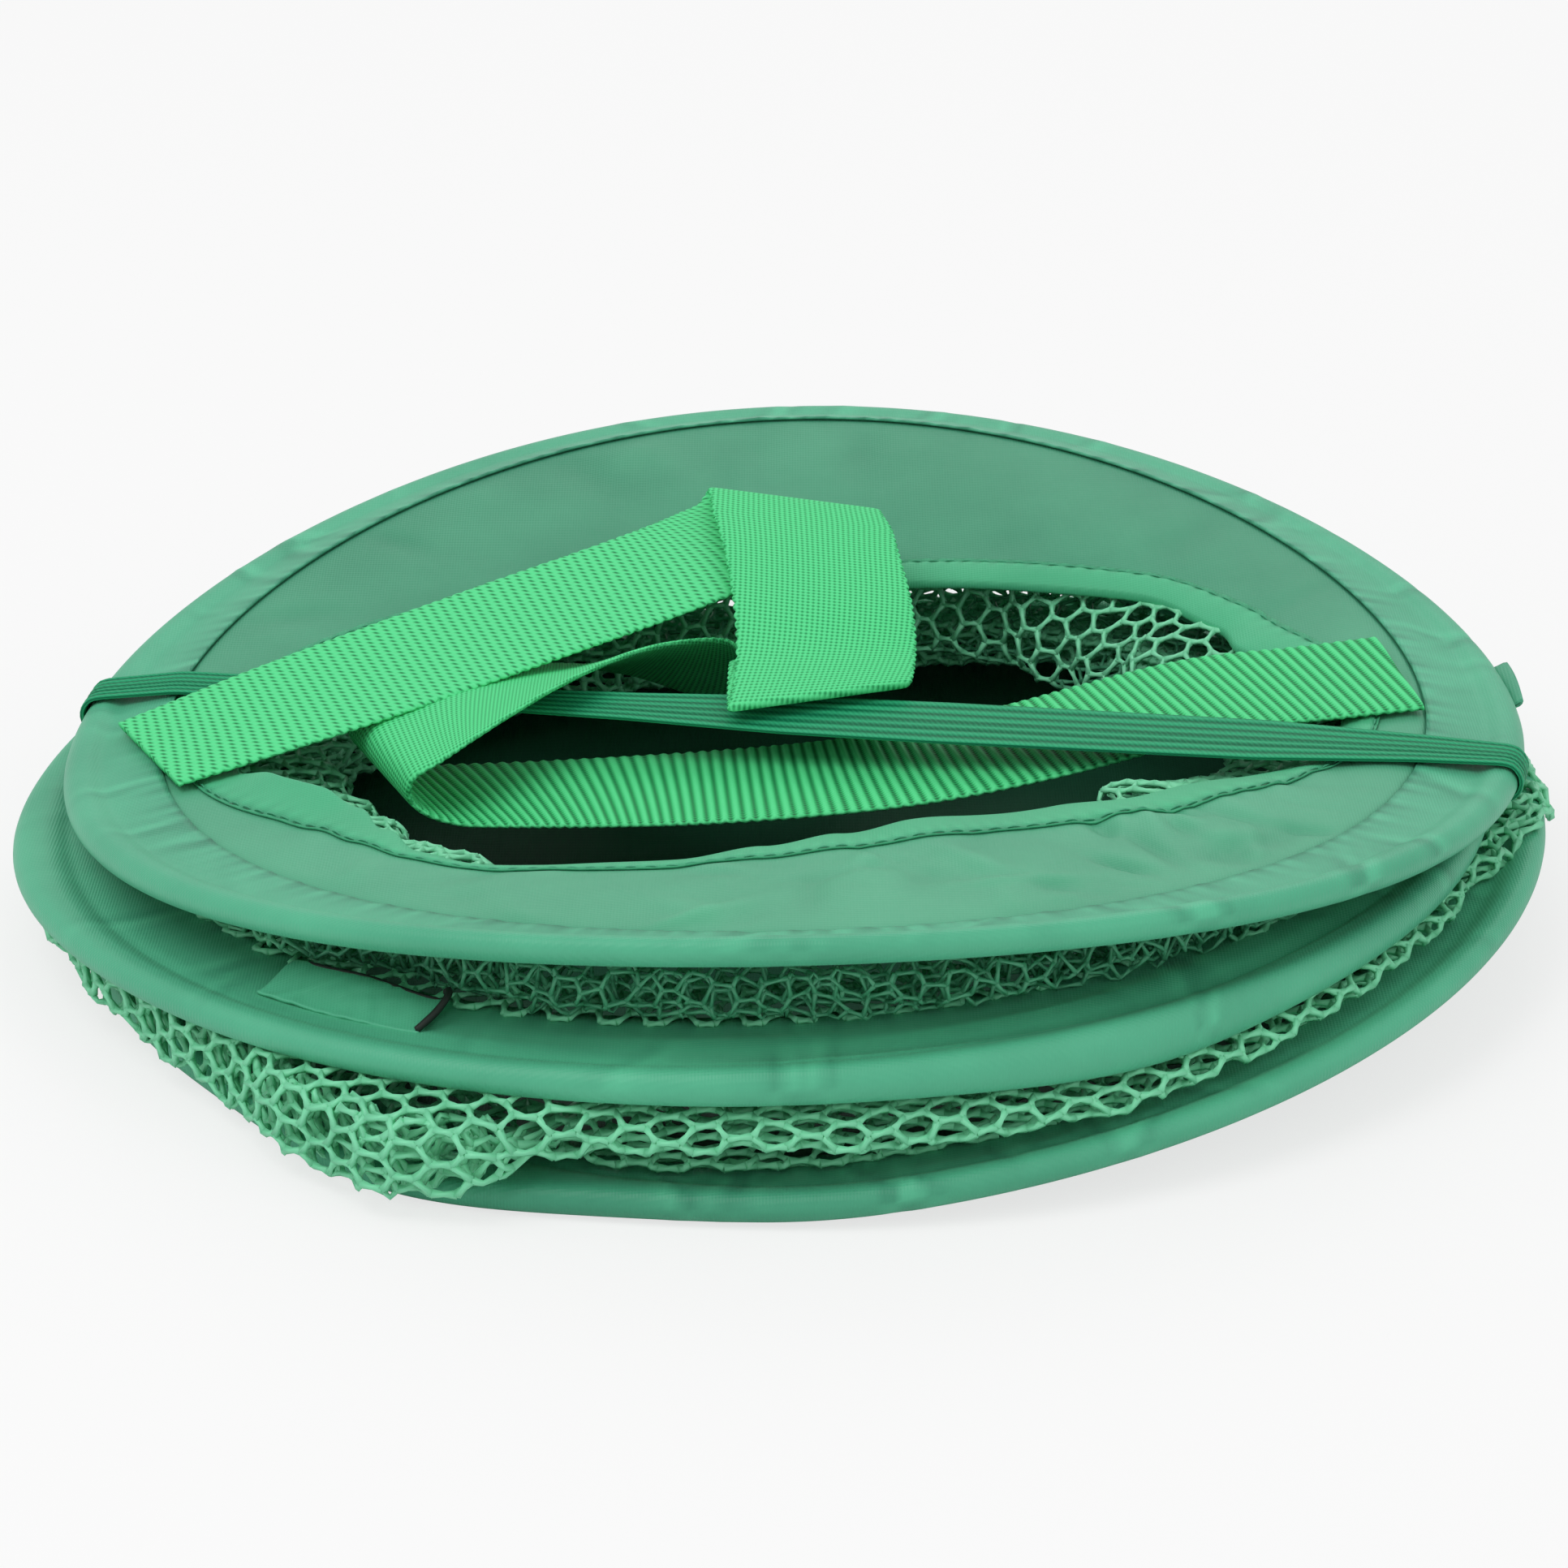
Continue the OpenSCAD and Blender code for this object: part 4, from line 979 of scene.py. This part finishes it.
def band_edge_line(e):
    """One edge of the band as a list of points: its sewn end on the middle sleeve, an arc round the
    bead, the bend over the collar seam, a straight run, and the same at the right."""
    def reach(radius):
        """Length along the line to a radius: the root of the difference of two squares."""
        return math.sqrt(radius * radius - (band_off + e) ** 2)

    def end(side, inwards):
        """Points of one end: on the middle sleeve, round the bead, at the collar seam."""
        rim = reach(WIRE_R)
        rim_z = float(level(TOP, band_place(side * rim, e)[0]))
        path = []
        for inward in inwards:
            q = band_place(side * (rim - inward), e)
            x, y = q - SHIFT[MID]
            near_bead = min(max((BEAD_R + 1.5 - abs(math.hypot(x, y) - WIRE_R)) / 3, 0), 1)
            cover = FLAT_HALF + (BEAD_R - FLAT_HALF) * near_bead
            path.append((*q, level(MID, x) + cover + 0.5 + BAND_T / 2))
        for b in np.radians(np.linspace(-75, 75, 9)):
            q = band_place(side * (rim + band_turn * math.cos(b)), e)
            path.append((*q, rim_z + band_turn * math.sin(b)))
        q = band_place(side * reach(SEAM_R[TOP] + 0.5), e)
        seam_z = level(TOP, q[0]) + SEAM_RISE * q[1] / math.hypot(*q)
        return np.array(path + [(*q, seam_z + FLAT_HALF + 0.6 + BAND_T / 2)])

    left, right = end(-1, (12, 8, 4)), end(1, (12, 9, 6, 3))
    t = np.linspace(0, 1, 9)[1:-1, None]
    return np.vstack([left, left[-1] + (right[-1] - left[-1]) * t, right[::-1]])


edges = [band_edge_line(BAND_W / 2), band_edge_line(-BAND_W / 2)]
middle = (edges[0] + edges[1]) / 2
# the stretched ends are narrower than the middle, the left one more so
narrow = 0.5 + 0.5 * smooth((middle[:, :1] + 60) / 80) - 0.42 * smooth((middle[:, :1] - 95) / 45)
edges = [middle + (edge - middle) * narrow for edge in edges]
steps, length = even_steps(*edges, BAND_STEP)


def eased(line):
    """Line read at the steps, straight between its points, then averaged over five stations."""
    read = [np.interp(steps, np.arange(len(line)), line[:, i]) for i in range(3)]
    return np.stack([np.convolve(np.pad(axis, 2, mode="edge"), np.ones(5) / 5, "valid") for axis in read], -1)


across = np.linspace(0, 1, 64)
scallop = (np.abs(np.sin(math.pi * across * BAND_RIBS)) ** 0.6)[None, :]
phase = 2 * math.pi * length[:, None] / 2.2 + np.floor(across * BAND_RIBS)[None, :] * 2.1
height = BAND_T / 2 * (0.62 + 0.38 * scallop) + 0.05 * np.sin(phase) * scallop

# lengthwise ribs with a slanted braid on each, along the UV map in millimetres, coloured by
# their height: painted light on the crests, painted shade in the grooves
paint = Paint("band_elastic")
u, v, _ = paint.add("SeparateXYZ", Vector=paint.add("UVMap", uv_map="cloth")).outputs
rib = paint.math("COSINE", paint.math("MULTIPLY", v, 2 * math.pi * BAND_RIBS / 18.0))
rib = paint.math("MULTIPLY_ADD", rib, -0.38, 0.5)
braid = paint.math("SINE", paint.math("MULTIPLY_ADD", u, 5.6, paint.math("MULTIPLY", v, 5.0)))
elastic = ramp_coat(paint, paint.math("MULTIPLY_ADD", braid, 0.13, rib),
                    ((0.1, (0.002, 0.14, 0.06, 1)), (0.95, (0.03, 0.41, 0.19, 1))), 0.55, 0.15, 0.4, 0.0004)
elastic_band, points = ribbon("elastic_band", *[eased(edge) for edge in edges], elastic, length, across,
                              height, height * 0.9)
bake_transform(elastic_band, "mid", "band", start=(0, 0, 0.0), end=(0, 0, 0.1))
span = np.clip(points[..., :2] @ band_way / BAND_SEWN_AT, -1, 1)
attribute(elastic_band, "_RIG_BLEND", np.sqrt(1 - span ** 2))
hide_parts("retaining_band")

# ---- Small trim ------------------------------------------
# A folded tab at the right rim, the lapped end of the middle sleeve at the front left, and the
# dark end of thread that hangs out of that lap.
TAB_ANGLE, TAB_R = math.radians(5.5), 150.1
tab_profile = np.array([[-1.5, 0.6], [1.0, 0.62], [2.3, 0.75], [3.2, 0.5], [3.5, 0.0], [3.2, -0.5],
                        [2.3, -0.75], [1.0, -0.62], [-1.5, -0.6], [-1.5, -0.2], [2.2, -0.2], [2.6, 0.0],
                        [2.2, 0.2], [-1.5, 0.2]])
tab_w = np.linspace(-9.5, 9.5, 39)[:, None]
tab_a = TAB_ANGLE + tab_w / 151.0
out_way = grids(np.cos(tab_a), np.sin(tab_a), 0)
out, up = tab_profile.T[:, None]
lift = up + 0.4 * np.sin(0.2 * tab_w + 1.0) + 0.35 * out
tab = (seat(TOP, tab_a, TAB_R) + (out * (0.75 + 0.02 * tab_w))[..., None] * out_way
       + lift[..., None] * np.array([0, 0, 1.0]))
first, last = [row + (row.mean(axis=1, keepdims=True) - row) * 0.98 for row in (tab[:1], tab[-1:])]
tab = np.vstack([first, tab, last])
rim_tab_cloth = surface("rim_tab_cloth", tab, sleeve_nylon, 0.6)
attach(rim_tab_cloth, "top")
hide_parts("rim_tab")

lap_a = np.radians(np.linspace(227.5, 243.5, 80))[:, None]
lap_r = np.linspace(128.5, 138.5, 22)[None, :]
lap_raise = 3.6 * smooth((138 - lap_r) / 9.0) * (0.75 + 0.25 * np.sin(14 * lap_a + 1.0))
lap_crease = np.abs(ridges(lap_a, lap_r, 91, 24, (3.95, 4.26), (130, 139), 0.6, 1.4, 0.9))
lap_up = FLAT_HALF + 0.5 + lap_raise + 0.45 * lap_crease
lap = np.hstack([seat(MID, lap_a, lap_r, lap_up + 0.3), seat(MID, lap_a, lap_r, lap_up - 0.3)[:, ::-1]])
# painted light: the raised lap is drawn lighter than the sleeve around it
sleeve_lap_cloth = surface("sleeve_lap_cloth", shut(lap), sleeve_nylon, 0.95, flip=True)
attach(sleeve_lap_cloth, "mid")
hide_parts("sleeve_lap")


def tube(name, path, radius):
    """Closed eight-sided tube of one radius along a path, with its ends drawn to a point."""
    way = unit(np.gradient(path, axis=0))
    girth = np.full(len(path), radius)
    girth[0] = girth[-1] = 0.02
    return surface(name, rings_round(path, *square_to(way, [0.3, 0.2, 0.93]), girth, 8), dark_thread_and_shade)


dark_thread_and_shade = grainy("dark_thread_and_shade", (0.006, 0.012, 0.008, 1), *TWIST)
tail_a = np.radians(np.array([243.6, 244.2, 244.4, 244.1, 243.6, 243.2]))
tail_points = seat(MID, tail_a, np.array([128.6, 129.6, 131.5, 134.0, 136.5, 138.2]),
                   np.array([5.6, 6.6, 6.0, 4.4, 3.0, 2.0]))
thread_end = tube("thread_end", spline(tail_points, np.linspace(0, 5, 40)), 0.7)
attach(thread_end, "mid")
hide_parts("thread_tail")

# a dark thread along the lap's raised inner edge, running on into the thread end; it also stands in for the
# shade in the slit above the lap (painted shade)
run_a = np.radians(np.linspace(228.6, 243.4, 24))
run_r = 128.6 + 0.3 * np.sin(9 * np.linspace(0, 1, 24))
run_up = FLAT_HALF + 4.3 + 0.9 * (np.sin(14 * run_a + 1.0) - 1)
lap_thread_and_shade_line = tube("lap_thread_and_shade_line", seat(MID, run_a, run_r, run_up), 0.45)
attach(lap_thread_and_shade_line, "mid")
